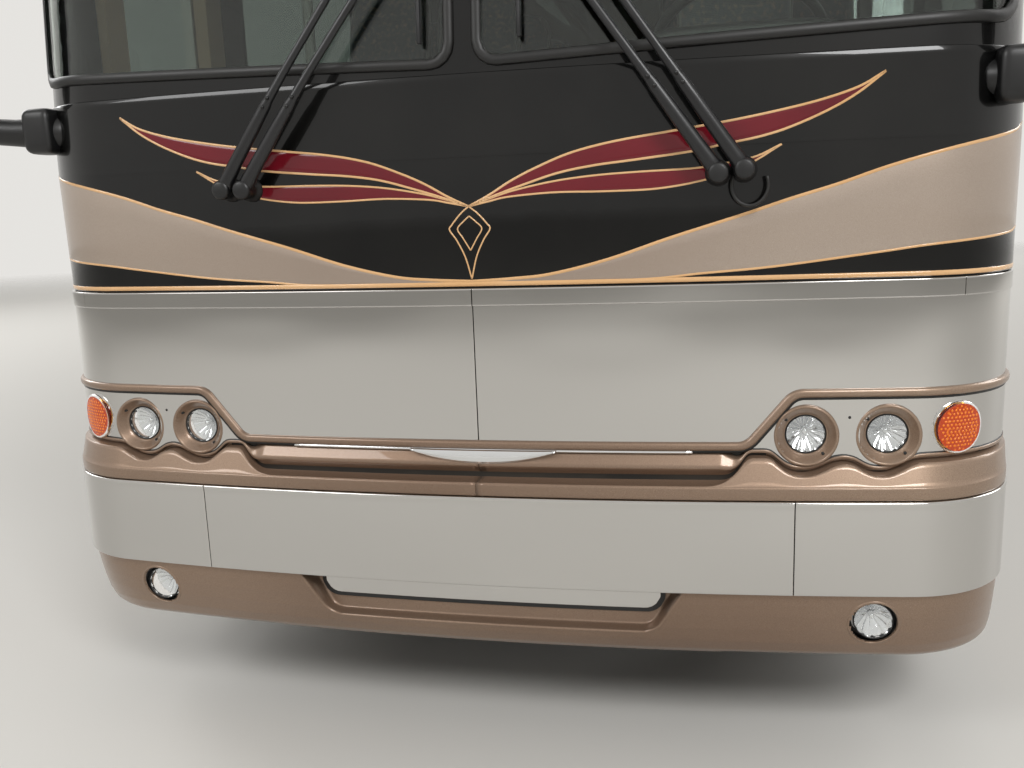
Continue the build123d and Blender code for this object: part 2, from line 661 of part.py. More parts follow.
def make_rear():
    """Rear cap, engine door, window, bumper and lamps."""
    cap = rear_solid(0) - rear_solid(WALL)
    x0, x1, z0, z1 = ENGINE_DOOR
    cap = cap - block(x0 - GAP, x1 + GAP, REAR_FACE_Y - 200, TAIL_Y, z0 - 2, z1 + HINGE_DROP)
    window = rounded(*REAR_WINDOW, WINDOW_RADIUS)
    tunnel = extrude(Plane.XZ.offset(-TAIL_Y) * window, 300)
    cap = cap - tunnel
    lamps = []
    for z in TAIL_LAMPS_Z:
        for x in (-TAIL_LAMP_X, TAIL_LAMP_X):
            place = Pos(x, REAR_FACE_Y - 20, z) * Rot(90, 0, 0)
            lamps.append(place * Cylinder(TAIL_LAMP_RADIUS, LAMP_DEPTH))
    for lamp in lamps:
        cap = cap - lamp
    save("rear_cap", cap)
    save("tail_lamps", *lamps)
    pane = extrude(Plane.XZ.offset(-(REAR_FACE_Y - 1)) * window, PANE_THICK)

    door = block(x0, x1, REAR_FACE_Y - WALL, REAR_FACE_Y, z0 + GAP, z1)
    y = REAR_FACE_Y - HINGE_RADIUS
    z = z1 + LEAF_REACH
    pin, leaf = hinge((x0, y, z), (x1, y, z), (0, 0, EAR_REACH), (0, 0, -LEAF_REACH))
    for knuckle in leaf:
        door = door + knuckle
    save("engine_door", door)

    plan = rectangle(-HALF_WIDTH, HALF_WIDTH, REAR_START_Y, TAIL_Y)
    plan = fillet(plan.vertices().sort_by(Axis.Y)[2:], BUMPER_CORNER)
    inner = rectangle(-INNER_X, INNER_X, REAR_START_Y - 1, REAR_FACE_Y - WALL)
    inner = fillet(inner.vertices().sort_by(Axis.Y)[2:], BUMPER_WALL_CORNER)
    bumper = extrude(Pos(0, 0, BUMPER_BOTTOM) * (plan - inner), CAP_BOTTOM - BUMPER_BOTTOM)
    save("rear_bumper", bumper)
    return pin, pane


def make_roof():
    """Crowned roof between the two caps."""
    outer = roof_length(0, FRONT_END_Y, REAR_START_Y)
    save("roof", outer - roof_length(WALL, FRONT_END_Y - 1, REAR_START_Y + 1))


SIDE_PANES = make_sides()
ENGINE_DOOR_PIN, REAR_PANE = make_rear()
save("cabin_windows", *SIDE_PANES, REAR_PANE)
save("hinge_pins", *make_luggage_doors(), make_entrance_door(), ENGINE_DOOR_PIN)
make_roof()

# Interior: deck, steps, dash, steering wheel and seats
DASH_TOP = 1745
DECK_REAR_Y = REAR_FACE_Y - WALL - 260
STEP_INNER_X = 735.5 - HALF_WIDTH
STEP_FRONT_Y = DOOR_FRONT_Y + 10
STEP_REAR_Y = DOOR_REAR_Y - 10
STEP_COUNT = 4
STEP_PLATE = 20
STEP_RISE = (DECK_TOP - DOOR_BOTTOM - STEP_PLATE) / STEP_COUNT
STEP_TOP = DOOR_BOTTOM + STEP_PLATE + (STEP_COUNT - 1) * STEP_RISE
DRIVER_X = HALF_WIDTH - 655.5
SEAT_PITCH = 860
SEAT_ROWS = 12
SEAT_FIRST_Y = STEP_REAR_Y + 560
SEAT_INNER_X, SEAT_OUTER_X = 300, INNER_X - 45.5
SEAT_SIDE = [(0, 330), (30, 450), (430, 420), (560, 1160), (660, 1150), (560, 400), (520, 330)]
SEAT_HEIGHT = 331
SEAT_CORNER = 40
LEG_MARGIN = 80
LEG_START, LEG_END = 120, 400
DRIVER_SEAT_HALF = 260
DASH_END_X = STEP_INNER_X + 20
DASH_SIDE = [(330, 0), (420, -60)]
DASH_FOOT = [(360, 220), (200, 0)]
WHEEL_RADIUS, WHEEL_GRIP = 228, 15
WHEEL_TILT = -35
COLUMN_RADIUS, COLUMN_LENGTH = 30, 230
RAIL_RADIUS, RAIL_HEIGHT = 16, 900
NOSING = 60


def seat_outline(y):
    """Side view of a seat whose cushion's front edge is at y."""
    face = make_face(Polyline(*[(y + a, DECK_TOP + b) for a, b in SEAT_SIDE], close=True))
    return fillet(face.vertices().sort_by(Axis.Y)[-2:], SEAT_CORNER)


def seat(x0, x1, y):
    """One seat body on its pedestal."""
    shell = through_side(seat_outline(y), x0, x1)
    ends = (x0 + LEG_MARGIN, x1 - LEG_MARGIN, y + LEG_START, y + LEG_END)
    return shell + block(*ends, DECK_TOP, DECK_TOP + SEAT_HEIGHT)


def make_cabin():
    """Deck with its stepwell, steps, dash, wheel and seats."""
    inset = 9 + SHEET + NOSE_WALL
    front = nose_block(inset, DECK_BOTTOM, DECK_TOP)
    rear = block(-INNER_X, INNER_X, FRONT_END_Y, DECK_REAR_Y, DECK_BOTTOM, DECK_TOP)
    ends = (-INNER_X - 1, STEP_INNER_X, STEP_FRONT_Y, STEP_REAR_Y)
    well = block(*ends, DECK_BOTTOM - 1, DECK_TOP + 1)
    save("floor_deck", front + rear - well)

    outer_x = -(INNER_X - GAP)
    treads = [(outer_x, DOOR_BOTTOM), (outer_x, DOOR_BOTTOM + STEP_PLATE)]
    run = (STEP_INNER_X - outer_x) / STEP_COUNT
    for index in range(1, STEP_COUNT):
        x = outer_x + index * run + NOSING
        treads.append((x, DOOR_BOTTOM + STEP_PLATE + (index - 1) * STEP_RISE))
        treads.append((x, DOOR_BOTTOM + STEP_PLATE + index * STEP_RISE))
    treads += [(STEP_INNER_X, treads[-1][1]), (STEP_INNER_X, DOOR_BOTTOM)]
    stair = make_face(Polyline(*treads, close=True))
    stairs = extrude(Plane.XZ.offset(-STEP_REAR_Y) * stair, STEP_REAR_Y - STEP_FRONT_Y)
    face_y = FACE_Y + inset
    front = face_y - 1
    points = [(front, DECK_TOP), (front, DASH_TOP)]
    points += [(face_y + a, DASH_TOP + b) for a, b in DASH_SIDE]
    points += [(face_y + a, DECK_TOP + b) for a, b in DASH_FOOT]
    dash = through_side(make_face(Polyline(*points, close=True)), DASH_END_X, INNER_X)
    shape = dash & nose_block(inset, DECK_TOP, DASH_TOP)
    save("dashboard", shape)

    hub = Pos(DRIVER_X, face_y + 560, DASH_TOP + 90) * Rot(WHEEL_TILT, 0, 0)
    spokes = Box(440, 30, 12) + Pos(0, 110, 0) * Box(30, 220, 12)
    wheel = hub * (Torus(WHEEL_RADIUS, WHEEL_GRIP) + Cylinder(42, 40) + spokes)
    column = hub * Pos(0, 0, -20) * extrude(Circle(COLUMN_RADIUS), -COLUMN_LENGTH)
    save("steering_wheel", wheel + column - shape)

    seats = [seat(DRIVER_X - DRIVER_SEAT_HALF, DRIVER_X + DRIVER_SEAT_HALF, face_y + 760)]
    for row in range(SEAT_ROWS):
        y = SEAT_FIRST_Y + row * SEAT_PITCH
        seats += [seat(SEAT_INNER_X, SEAT_OUTER_X, y), seat(-SEAT_OUTER_X, -SEAT_INNER_X, y)]
    save("seats", *seats)
    rail_x = STEP_INNER_X - 40
    rail_y = STEP_FRONT_Y + 60
    rail = rod((rail_x, rail_y, STEP_TOP), (rail_x, rail_y, DECK_TOP + RAIL_HEIGHT), RAIL_RADIUS)
    ends = (STEP_INNER_X - STEP_PLATE, STEP_INNER_X, STEP_FRONT_Y, STEP_REAR_Y)
    riser = block(*ends, STEP_TOP, DECK_TOP)
    save("entry_steps", stairs + riser + rail)


# Chassis
BAY_FLOOR = 50
BULKHEAD = 40
RAIL_BOTTOM, RAIL_TOP = 780, 920
RAIL_WIDTH = 80
WHEEL_X = HALF_WIDTH - WHEEL_INSET - TYRE_WIDTH / 2
KINGPIN_X = WHEEL_X - 140
KINGPIN_RADIUS = 22
SPINDLE_RADIUS = 45
HUB_CLEARANCE = 0.05
ARM_LENGTH = 200
ARM_Z = 500
SPRING_RADIUS = 105
SPRING_X = WHEEL_X - TWIN_SPACING - TYRE_WIDTH / 2 - SPRING_RADIUS - 6.5
RAIL_INNER = SPRING_X - SPRING_RADIUS - RAIL_WIDTH / 2
FRONT_RAIL_X, REAR_RAIL_X = RAIL_INNER - 25, RAIL_INNER - 15
SPRING_OFFSET = 330
SPRING_SEAT_Z = TYRE_RADIUS + 100
SADDLE_HALF_X, SADDLE_HALF_Y, SADDLE_THICK = 100, 60, 60
POST_THICK = 60
FRONT_POST_Y = FACE_Y + 160
ARCH_POST_Y = FRONT_AXLE_Y - ARCH_RADIUS - 120
CROSS_HALF = SPRING_X - 20
BEAM_HALF = 45
BEAM_DROP = 110
BALL_RADIUS = 12
TIE_RADIUS, TIE_BOSS = 18, 26
TIE_Z = ARM_Z - 13
HUB_END = WHEEL_X + 130
TUBE_RADIUS = 75
DIFFERENTIAL_RADIUS, DIFFERENTIAL_LENGTH = 205, 300


def make_underframe():
    """Bay floors, bulkheads, rails and outriggers under the deck."""
    side = INNER_X - GAP
    frame = block(-side, side, BAY_FRONT_Y, BAY_REAR_Y, SKIRT_BOTTOM, SKIRT_BOTTOM + BAY_FLOOR)
    for index in range(BAY_COUNT + 1):
        y = BAY_FRONT_Y + index * BAY_PITCH - (BULKHEAD if index == BAY_COUNT else 0)
        y = y - (BULKHEAD / 2 if 0 < index < BAY_COUNT else 0)
        frame = frame + block(-side, side, y, y + BULKHEAD, SKIRT_BOTTOM, DECK_BOTTOM)
    spans = [
        (FRONT_RAIL_X, FACE_Y + 120, BAY_FRONT_Y), (REAR_RAIL_X, BAY_REAR_Y, REAR_START_Y + 200),
    ]
    half = RAIL_WIDTH / 2
    for x, y0, y1 in spans:
        for s in (-1, 1):
            frame = frame + block(s * (x - half), s * (x + half), y0, y1, RAIL_BOTTOM, RAIL_TOP)
    posts = [
        (FRONT_RAIL_X, FRONT_POST_Y), (FRONT_RAIL_X, ARCH_POST_Y),
        (REAR_RAIL_X, TAG_AXLE_Y + ARCH_RADIUS + 40), (REAR_RAIL_X, REAR_START_Y + 100),
    ]
    for x, y in posts:
        x = x + half
        frame = frame + block(-x, x, y, y + POST_THICK, RAIL_BOTTOM, DECK_BOTTOM)
    springs = [
        (SPRING_X, FRONT_AXLE_Y), (SPRING_X, DRIVE_AXLE_Y - SPRING_OFFSET),
        (SPRING_X, DRIVE_AXLE_Y + SPRING_OFFSET), (SPRING_X, TAG_AXLE_Y + SPRING_OFFSET),
    ]
    for x, y in springs:
        x = x + SADDLE_HALF_X
        ends = (-x, x, y - SADDLE_HALF_Y, y + SADDLE_HALF_Y)
        frame = frame + block(*ends, RAIL_TOP, RAIL_TOP + SADDLE_THICK)
    for y in (FRONT_POST_Y, ARCH_POST_Y):
        frame = frame + block(-CROSS_HALF, CROSS_HALF, y, y + POST_THICK, RAIL_BOTTOM, RAIL_TOP)
    save("underframe", frame)
    bags = []
    for x, y in springs:
        middle = (SPRING_SEAT_Z + RAIL_TOP) / 2
        bag = Pos(x, y, middle) * Cylinder(SPRING_RADIUS, RAIL_TOP - SPRING_SEAT_Z)
        bags += mirror_pair(bag)
    save("air_springs", *bags)


def make_front_axle():
    """Dropped beam with kingpins, two knuckles and the tie rod."""
    y, z = FRONT_AXLE_Y, TYRE_RADIUS
    half = BEAM_HALF
    beam = block(-KINGPIN_X, KINGPIN_X, y - half, y + half, z - half, z + half)
    dip = SPRING_X - 80
    beam = beam - block(-dip, dip, y - half - 1, y + half + 1, z - 1, z + half + 1)
    dip = SPRING_X - 40
    beam = beam + block(-dip, dip, y - half, y + half, z - BEAM_DROP, z)
    for s in (-1, 1):
        eye = Pos(s * KINGPIN_X, y, z) * Cylinder(50, 2 * half)
        pin = Pos(s * KINGPIN_X, y, z) * Cylinder(KINGPIN_RADIUS, 190)
        pad = block(s * (SPRING_X - 100), s * (SPRING_X + 100), y - 90, y + 90, z + half, SPRING_SEAT_Z)
        beam = beam + eye + pin + pad
    for s, name in ((1, "left"), (-1, "right")):
        x = s * KINGPIN_X
        body = block(x + s * 56, x + s * 90, y - 60, y + 60, z - 95, z + 95)
        for low in (z - 95, z + 48):
            body = body + block(x - s * half, x + s * 90, y - half, y + half, low, low + 47)
        spindle = rod((x + s * 80, y, z), (s * HUB_END, y, z), SPINDLE_RADIUS)
        arm = block(x - 25, x + 25, y + 44, y + ARM_LENGTH + 25, ARM_Z - 60, ARM_Z - 35)
        ball = Pos(x, y + ARM_LENGTH, ARM_Z - 45) * Cylinder(BALL_RADIUS, 90)
        bore = Pos(x, y, z) * Cylinder(KINGPIN_RADIUS + HUB_CLEARANCE, 300)
        save("knuckle_" + name, body + spindle + arm + ball - bore)
    y = y + ARM_LENGTH
    tie = rod((-KINGPIN_X, y, TIE_Z), (KINGPIN_X, y, TIE_Z), TIE_RADIUS)
    for s in (-1, 1):
        place = Pos(s * KINGPIN_X, y, TIE_Z)
        tie = tie + place * Cylinder(TIE_BOSS, 44)
        tie = tie - place * Cylinder(BALL_RADIUS + HUB_CLEARANCE, 60)
    save("tie_rod", tie)
    return beam


def make_rear_axles():
    """Drive axle with its differential, and the tag axle, with pads for the springs."""
    z = TYRE_RADIUS
    neck = SPRING_X + SPRING_RADIUS - 13.5
    pads = [
        (DRIVE_AXLE_Y, -SPRING_OFFSET), (DRIVE_AXLE_Y, SPRING_OFFSET), (TAG_AXLE_Y, SPRING_OFFSET),
    ]
    axles = {}
    for y in (DRIVE_AXLE_Y, TAG_AXLE_Y):
        tube = rod((-neck, y, z), (neck, y, z), TUBE_RADIUS)
        axles[y] = tube + rod((-HUB_END, y, z), (HUB_END, y, z), SPINDLE_RADIUS)
    drum = Rot(90, 0, 0) * Cylinder(DIFFERENTIAL_RADIUS, DIFFERENTIAL_LENGTH)
    axles[DRIVE_AXLE_Y] = axles[DRIVE_AXLE_Y] + Pos(0, DRIVE_AXLE_Y, z) * drum
    for y, reach in pads:
        for x in (-SPRING_X, SPRING_X):
            arm = block(x - 45, x + 45, min(y, y + reach), max(y, y + reach), z - 40, z + 40)
            pad = block(x - 90, x + 90, y + reach - 90, y + reach + 90, z + 40, SPRING_SEAT_Z)
            axles[y] = axles[y] + arm + pad
    return list(axles.values())


# Wheels
BEAD_INSET = 40
WALL_HEIGHT = 70
SHOULDER_DROP, SHOULDER_EDGE, TREAD_EDGE = 12, 26, 60
RIM_THICK = 16
RIM_HALF = 116
HUB_RADIUS, HUB_DEPTH = 95, 70
DISC_HALF = 11
STUD_CIRCLE, HOLE_RADIUS, HOLE_COUNT = 190, 28, 10
SINGLE_DISC, SINGLE_HUB_END = 60, 118
TWIN_DISC, TWIN_HUB_END = 30, 290


def tyre_section(centre):
    """Section of one tyre as radius and distance along the axle."""
    half = TYRE_WIDTH / 2
    bead = RIM_RADIUS + SEAT_GAP
    inner = [
        (bead, half - BEAD_INSET), (bead + WALL_HEIGHT, half), (TYRE_RADIUS - WALL_HEIGHT, half),
        (TYRE_RADIUS - SHOULDER_DROP, half - SHOULDER_EDGE), (TYRE_RADIUS, half - TREAD_EDGE),
    ]
    near = [(radius, centre - along) for radius, along in inner]
    far = [(radius, centre + along) for radius, along in reversed(inner)]
    return make_face(Polyline(*near, *far, close=True))


def rim_section(centres, disc, hub_end):
    """Section of a disc wheel: barrels at the centres, one disc, one hub."""
    barrel = RIM_RADIUS - RIM_THICK
    profile = rectangle(SPINDLE_RADIUS + HUB_CLEARANCE, HUB_RADIUS, disc - HUB_DEPTH, hub_end)
    profile = profile + rectangle(HUB_RADIUS - 5, barrel + 1, disc - DISC_HALF, disc + DISC_HALF)
    for centre in centres:
        profile = profile + rectangle(barrel, RIM_RADIUS, centre - RIM_HALF, centre + RIM_HALF)
    low, high = min(centres), max(centres)
    if low < high:
        profile = profile + rectangle(barrel, RIM_RADIUS - 2, low, high)
    return profile


def wheel_axis(side, x, y):
    """Frame at a wheel's middle whose z axis points outwards."""
    return Pos(side * x, y, TYRE_RADIUS) * Rot(0, side * 90, 0)


def make_wheels():
    """Tyres and rims: single in front and at the tag axle, twin at the drive axle."""
    twin = TWIN_SPACING / 2
    positions = [
        ("front", FRONT_AXLE_Y, WHEEL_X, [0], SINGLE_DISC, SINGLE_HUB_END),
        ("drive", DRIVE_AXLE_Y, WHEEL_X - twin, [-twin, twin], TWIN_DISC, TWIN_HUB_END),
        ("tag", TAG_AXLE_Y, WHEEL_X, [0], SINGLE_DISC, SINGLE_HUB_END),
    ]
    for name, y, x, centres, disc, hub_end in positions:
        for side, label in ((1, "left"), (-1, "right")):
            place = wheel_axis(side, x, y)
            tyres = [place * revolve(Plane.XZ * tyre_section(c), Axis.Z) for c in centres]
            save("tyre_" + name + "_" + label, *tyres)
            rim = revolve(Plane.XZ * rim_section(centres, disc, hub_end), Axis.Z)
            for step in range(HOLE_COUNT):
                turn = Rot(0, 0, 360 / HOLE_COUNT * step) * Pos(STUD_CIRCLE, 0, disc)
                rim = rim - turn * Cylinder(HOLE_RADIUS, 60)
            save("rim_" + name + "_" + label, place * rim)


# Engine, mirrors and wipers
ENGINE_DROP = 330
MIRROR_BASE = (HALF_WIDTH - 120, FACE_Y + 150, 1660)
MIRROR_ELBOW = (HALF_WIDTH + 230, FACE_Y + 90, 1700)
MIRROR_HEAD = (HALF_WIDTH + 250, FACE_Y + 90, 2010)
MIRROR_ARM_RADIUS, MIRROR_STEM_RADIUS, MIRROR_STEM_TOP = 45, 40, 1900
MIRROR_SHELL = (260, 120, 460)
MIRROR_SHELL_RADIUS = 45
MIRROR_FACE = (210, 14, 400)
WIPER_ARMS = [
    [((585, 1475), (102, 2150)), ((642, 1481), (175, 2150))],
    [((-625, 1483), (-140, 2150)), ((-567, 1481), (-60, 2150))],
]
WIPER_KNEE = 0.3
PIVOT_RADIUS, PIVOT_LENGTH = 24, 60
ARM_FOOT_RADIUS, ARM_TIP_RADIUS = 11, 7
ARM_STAND_OFF, KNEE_STAND_OFF = 42, 52
BLADE_BOTTOM, BLADE_TOP, BLADE_RADIUS, BLADE_STAND_OFF = 1800, 2500, 8, 10


def make_mirrors():
    """A swept arm and a shell on each front corner, and the glass set in the shell's back."""
    elbow = MIRROR_ELBOW
    arm = rod(MIRROR_BASE, elbow, MIRROR_ARM_RADIUS) + Pos(*elbow) * Sphere(MIRROR_ARM_RADIUS)
    arm = arm + rod(elbow, (elbow[0], elbow[1], MIRROR_STEM_TOP), MIRROR_STEM_RADIUS)
    shell = Box(*MIRROR_SHELL)
    shell = Pos(*MIRROR_HEAD) * fillet(shell.edges(), MIRROR_SHELL_RADIUS)
    glass = Pos(*MIRROR_HEAD) * Pos(0, MIRROR_SHELL[1] / 2 - 1, 0) * Box(*MIRROR_FACE)
    save("mirrors", *mirror_pair(arm - upper_panel_solid() + shell - glass))
    save("mirror_glass", *mirror_pair(glass))


def screen_point(x, z, stand_off):
    """A point ahead of the painted panel or the glass, by stand_off."""
    rise = max(0, z - PANEL_TOP) / (BROW_BOTTOM - PANEL_TOP)
    return (x, FACE_Y + front_depth(x) + RAKE * rise - stand_off, z)


def wiper(arms):
    """Two arms side by side, a link over their tips and an upright blade."""
    shape = Part()
    for (x0, z0), (x1, z1) in arms:
        foot = screen_point(x0, z0, ARM_STAND_OFF)
        tip = screen_point(x1, z1, ARM_STAND_OFF)
        knee_x, knee_z = x0 + (x1 - x0) * WIPER_KNEE, z0 + (z1 - z0) * WIPER_KNEE
        knee = screen_point(knee_x, knee_z, KNEE_STAND_OFF)
        pivot = Pos(*screen_point(x0, z0, ARM_STAND_OFF / 2)) * Rot(90, 0, 0)
        shape = shape + pivot * Cylinder(PIVOT_RADIUS, PIVOT_LENGTH)
        shape = shape + rod(foot, knee, ARM_FOOT_RADIUS) + Pos(*knee) * Sphere(ARM_FOOT_RADIUS)
        shape = shape + rod(knee, tip, ARM_TIP_RADIUS) + Pos(*tip) * Sphere(ARM_TIP_RADIUS)
    (x0, z0), (x1, z1) = [tip for foot, tip in arms]
    link = rod(screen_point(x0, z0, ARM_STAND_OFF), screen_point(x1, z1, ARM_STAND_OFF), ARM_TIP_RADIUS)
    middle = (x0 + x1) / 2
    stub = rod(
        screen_point(middle, z0, ARM_STAND_OFF), screen_point(middle, z0, BLADE_STAND_OFF), ARM_TIP_RADIUS
    )
    ends = [screen_point(middle, z, BLADE_STAND_OFF) for z in (BLADE_BOTTOM, BLADE_TOP)]
    return shape + link + stub + rod(*ends, BLADE_RADIUS) - upper_panel_solid()


def make_fittings():
    """Engine block, mirrors and wipers."""
    y0, y1 = TAG_AXLE_Y + ARCH_RADIUS + 180, DECK_REAR_Y - 60
    half = REAR_RAIL_X - RAIL_WIDTH / 2
    save("engine_block", block(-half, half, y0, y1, RAIL_BOTTOM - ENGINE_DROP, DECK_BOTTOM - 60))
    make_mirrors()
    save("wipers", *[wiper(arms) for arms in WIPER_ARMS])


make_cabin()
make_underframe()
save("axles", make_front_axle(), *make_rear_axles())
make_wheels()
make_fittings()
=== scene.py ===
# %% [markdown]
# A three-axle highway coach, dressed for the camera. The real vehicle is a steel frame with
# painted and polished panels hung on it, glass bonded into rubber, and a cabin full of seats.
# The frame that loads first holds those parts as plain solids at real size. This script gives
# them their finishes and swaps the ones that show most for smooth surfaces worked out with numpy.
# Everything is in metres: x to the photographer's right, y back along the coach, z up.

# %% Load the frame and note its box
import math
import bmesh
import bpy
import numpy as np
from mathutils import Matrix, Vector


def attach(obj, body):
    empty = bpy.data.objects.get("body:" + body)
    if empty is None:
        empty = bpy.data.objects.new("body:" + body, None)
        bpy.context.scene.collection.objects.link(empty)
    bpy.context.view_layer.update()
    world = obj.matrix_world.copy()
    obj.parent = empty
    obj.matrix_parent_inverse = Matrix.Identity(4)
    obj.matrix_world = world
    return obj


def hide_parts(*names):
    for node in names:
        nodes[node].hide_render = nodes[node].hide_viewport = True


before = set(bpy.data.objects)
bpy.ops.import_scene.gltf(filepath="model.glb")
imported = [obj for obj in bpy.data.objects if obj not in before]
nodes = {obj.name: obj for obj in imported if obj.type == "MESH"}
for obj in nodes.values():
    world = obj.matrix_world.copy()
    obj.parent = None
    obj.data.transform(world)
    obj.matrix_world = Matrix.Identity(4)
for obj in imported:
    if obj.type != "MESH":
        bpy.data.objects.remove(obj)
scene = bpy.context.scene
scene.view_settings.view_transform = "Standard"
SIDES = ((1, "left"), (-1, "right"))


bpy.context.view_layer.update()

# %% [markdown]
# A camera is a place, a direction and a lens. The picture was taken by somebody standing close to
# the nose and a little to the right, tipping the camera down and turning it left. The three
# angles below were solved from points on the panels: the turn is one matrix product.

# %% Camera
EYE = (0.5807, -9.0313, 1.4237)
YAW, PITCH, ROLL = 0.2164995, -0.1891613, 0.0370196
turn = (Matrix.Rotation(YAW, 4, "Z") @ Matrix.Rotation(PITCH, 4, "X") @ Matrix.Rotation(ROLL, 4, "Y"))
camera = bpy.data.objects.new("camera", bpy.data.cameras.new("camera"))
camera.data.lens = 33.11
camera.data.sensor_width = 36
camera.data.clip_end = 200
camera.matrix_world = Matrix.Translation(EYE) @ turn @ Matrix.Rotation(math.pi / 2, 4, "X")
scene.collection.objects.link(camera)
scene.camera = camera
print("camera at", EYE, "lens", camera.data.lens)

# %% [markdown]
# Shader colours are linear light, while a colour picked from a picture is sRGB. One function
# turns the hex value of a paint chip into linear numbers, and one adds a node to a shader
# tree with its settings and links, so that each finish below reads as a short recipe.

# %% Colour and node helpers


def srgb(code):
    """Linear RGBA of a hex colour: each channel c becomes ((c + 0.055) / 1.055) ** 2.4."""
    parts = np.array([int(code[i:i + 2], 16) for i in (1, 3, 5)]) / 255
    linear = np.where(parts <= 0.04045, parts / 12.92, ((parts + 0.055) / 1.055) ** 2.4)
    return (*linear.tolist(), 1.0)


def wire(tree, node, inputs):
    """Set a node's inputs, by name or index: a number, a colour, or a socket to link."""
    for name, value in inputs.items():
        if isinstance(value, bpy.types.NodeSocket):
            tree.links.new(value, node.inputs[name])
        else:
            node.inputs[name].default_value = value
    return node


def add(tree, kind, inputs=None, **settings):
    """Add one shader node with its settings, and wire its inputs."""
    made = tree.nodes.new("ShaderNode" + kind)
    for name, value in settings.items():
        setattr(made, name, value)
    return wire(tree, made, inputs or {})


def finish(name, inputs):
    """Start a material: a Principled surface with its plain sockets set, and its coordinates."""
    material = bpy.data.materials.new(name)
    material.use_nodes = True
    tree = material.node_tree
    surface = wire(tree, tree.nodes["Principled BSDF"], inputs)
    return material, tree, surface, add(tree, "TexCoord").outputs["Object"]


# %% [markdown]
# Every piece below is a set of grids: arrays of points in rows and columns. One function turns
# grids into an object. A grid may be open, like a sheet, or closed round its first direction,
# like a turned knob, whose points at a pole fall together and are merged. The same call says
# which body the piece rides on and which nodes it stands for.

# %% Settling a piece


def full_turn(steps):
    """Angles of a full turn as a column, the last one short of the first."""
    return np.linspace(0, 2 * math.pi, steps, endpoint=False)[:, None]


def facing_out(points):
    """Flip a nose grid if its faces look inwards: the middle cell must look towards -y."""
    i, j = (min(n // 2, n - 2) for n in points.shape[:2])
    across, along = points[i + 1, j] - points[i, j], points[i, j + 1] - points[i, j]
    return points if np.cross(across, along)[1] < 0 else points[::-1]


def settle(piece, stands_for=(), body="chassis"):
    """Hang a piece on the body it rides and hide the nodes it stands for."""
    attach(piece, body)
    if stands_for:
        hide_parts(*stands_for)
    print(piece.name, len(piece.data.polygons), "faces on", body)
    return piece


def put(name, verts, faces, materials, which=0):
    """An object of points and faces, smooth, at the origin; which gives each face's material."""
    mesh = bpy.data.meshes.new(name)
    mesh.from_pydata(np.asarray(verts).tolist(), [], faces)
    mesh.polygons.foreach_set("use_smooth", np.ones(len(faces), dtype=bool))
    mesh.polygons.foreach_set("material_index", np.broadcast_to(which, len(faces)).astype(np.int32))
    for material in materials:
        mesh.materials.append(material)
    piece = bpy.data.objects.new(name, mesh)
    scene.collection.objects.link(piece)
    return piece


# %% Objects from grids


def from_grids(name, grids, materials, split=None, closed=False, keep=None, outward=None):
    """One object from (n, m, 3) grids; split gives each grid's material.

    closed wraps each grid round its first direction. keep is a test on the middles of the
    faces, for holes that another piece covers. outward is a function that turns a grid's
    faces out; "solid" has the merged shell's own normals recalculated instead.
    """
    verts, faces, which, start = [], [], [], 0
    for index, points in enumerate(grids):
        points = outward(points) if callable(outward) else points
        n, m = points.shape[:2]
        a, b = np.meshgrid(np.arange(n if closed else n - 1), np.arange(m - 1), indexing="ij")
        a, b, after = a * m, b, (a + 1) % n * m
        quads = np.stack([a + b, after + b, after + b + 1, a + b + 1], -1).reshape(-1, 4)
        quads = quads[:, [0, 3, 2, 1]] if closed else quads
        flat = points.reshape(-1, 3)
        quads = quads if keep is None else quads[keep(flat[quads].mean(1))]
        verts.append(flat)
        faces.append(quads + start)
        which.append(np.full(len(quads), 0 if split is None else split[index]))
        start += n * m
    piece = put(name, np.concatenate(verts), np.concatenate(faces).tolist(), materials,
                np.concatenate(which))
    if closed:
        shape = bmesh.new()
        shape.from_mesh(piece.data)
        bmesh.ops.remove_doubles(shape, verts=shape.verts, dist=2e-5)
        if outward == "solid":
            bmesh.ops.recalc_face_normals(shape, faces=shape.faces)
        shape.to_mesh(piece.data)
        shape.free()
    return piece


def sheet(name, grids, materials, split=None, keep=None):
    """Open grids of the nose as one object, with every face turned to the front."""
    return from_grids(name, grids, materials, split, keep=keep, outward=facing_out)


def solid(name, grids, materials, split=None):
    """Closed grids as one object, with every face turned outwards."""
    return from_grids(name, grids, materials, split, closed=True, outward="solid")


# %% [markdown]
# Glossy paint and mirror steel show whatever is around them, so the surroundings matter as much
# as the lamps. Here they are a pale floor, a pale sky that only the camera, glossy and
# transmission rays see at full strength, and a few large soft lamps as in a photo studio. The
# sky that lights the coach is dimmer, which keeps a colour close to how it is written. The floor
# thins out to nothing far from the nose, so that no horizon shows behind the coach.

# %% Floor
FLOOR_REACH = 44
FADE_AHEAD, FADE_START, FADE_END = (0, 12, 0), 21.0, 31.0
floor_finish, tree, surface, where = finish("pale matt studio floor", {
    "Base Color": srgb("#dfddd8"), "Roughness": 0.6})
from_front = add(tree, "VectorMath", {0: where, 1: FADE_AHEAD}, operation="ADD")
reach_out = add(tree, "VectorMath", {0: from_front.outputs[0]}, operation="LENGTH")
gone = add(tree, "MapRange", {"Value": reach_out.outputs["Value"], "From Min": FADE_START,
                              "From Max": FADE_END})
clear = add(tree, "BsdfTransparent")
faded = add(tree, "MixShader", {0: gone.outputs["Result"], 1: surface.outputs[0], 2: clear.outputs[0]})
wire(tree, tree.nodes["Material Output"], {"Surface": faded.outputs[0]})
steps = np.linspace(-FLOOR_REACH, FLOOR_REACH, 9)
gx, gy = np.meshgrid(steps, steps, indexing="ij")
from_grids("studio_floor", [np.stack([gx, gy, 0 * gx], -1)], [floor_finish])
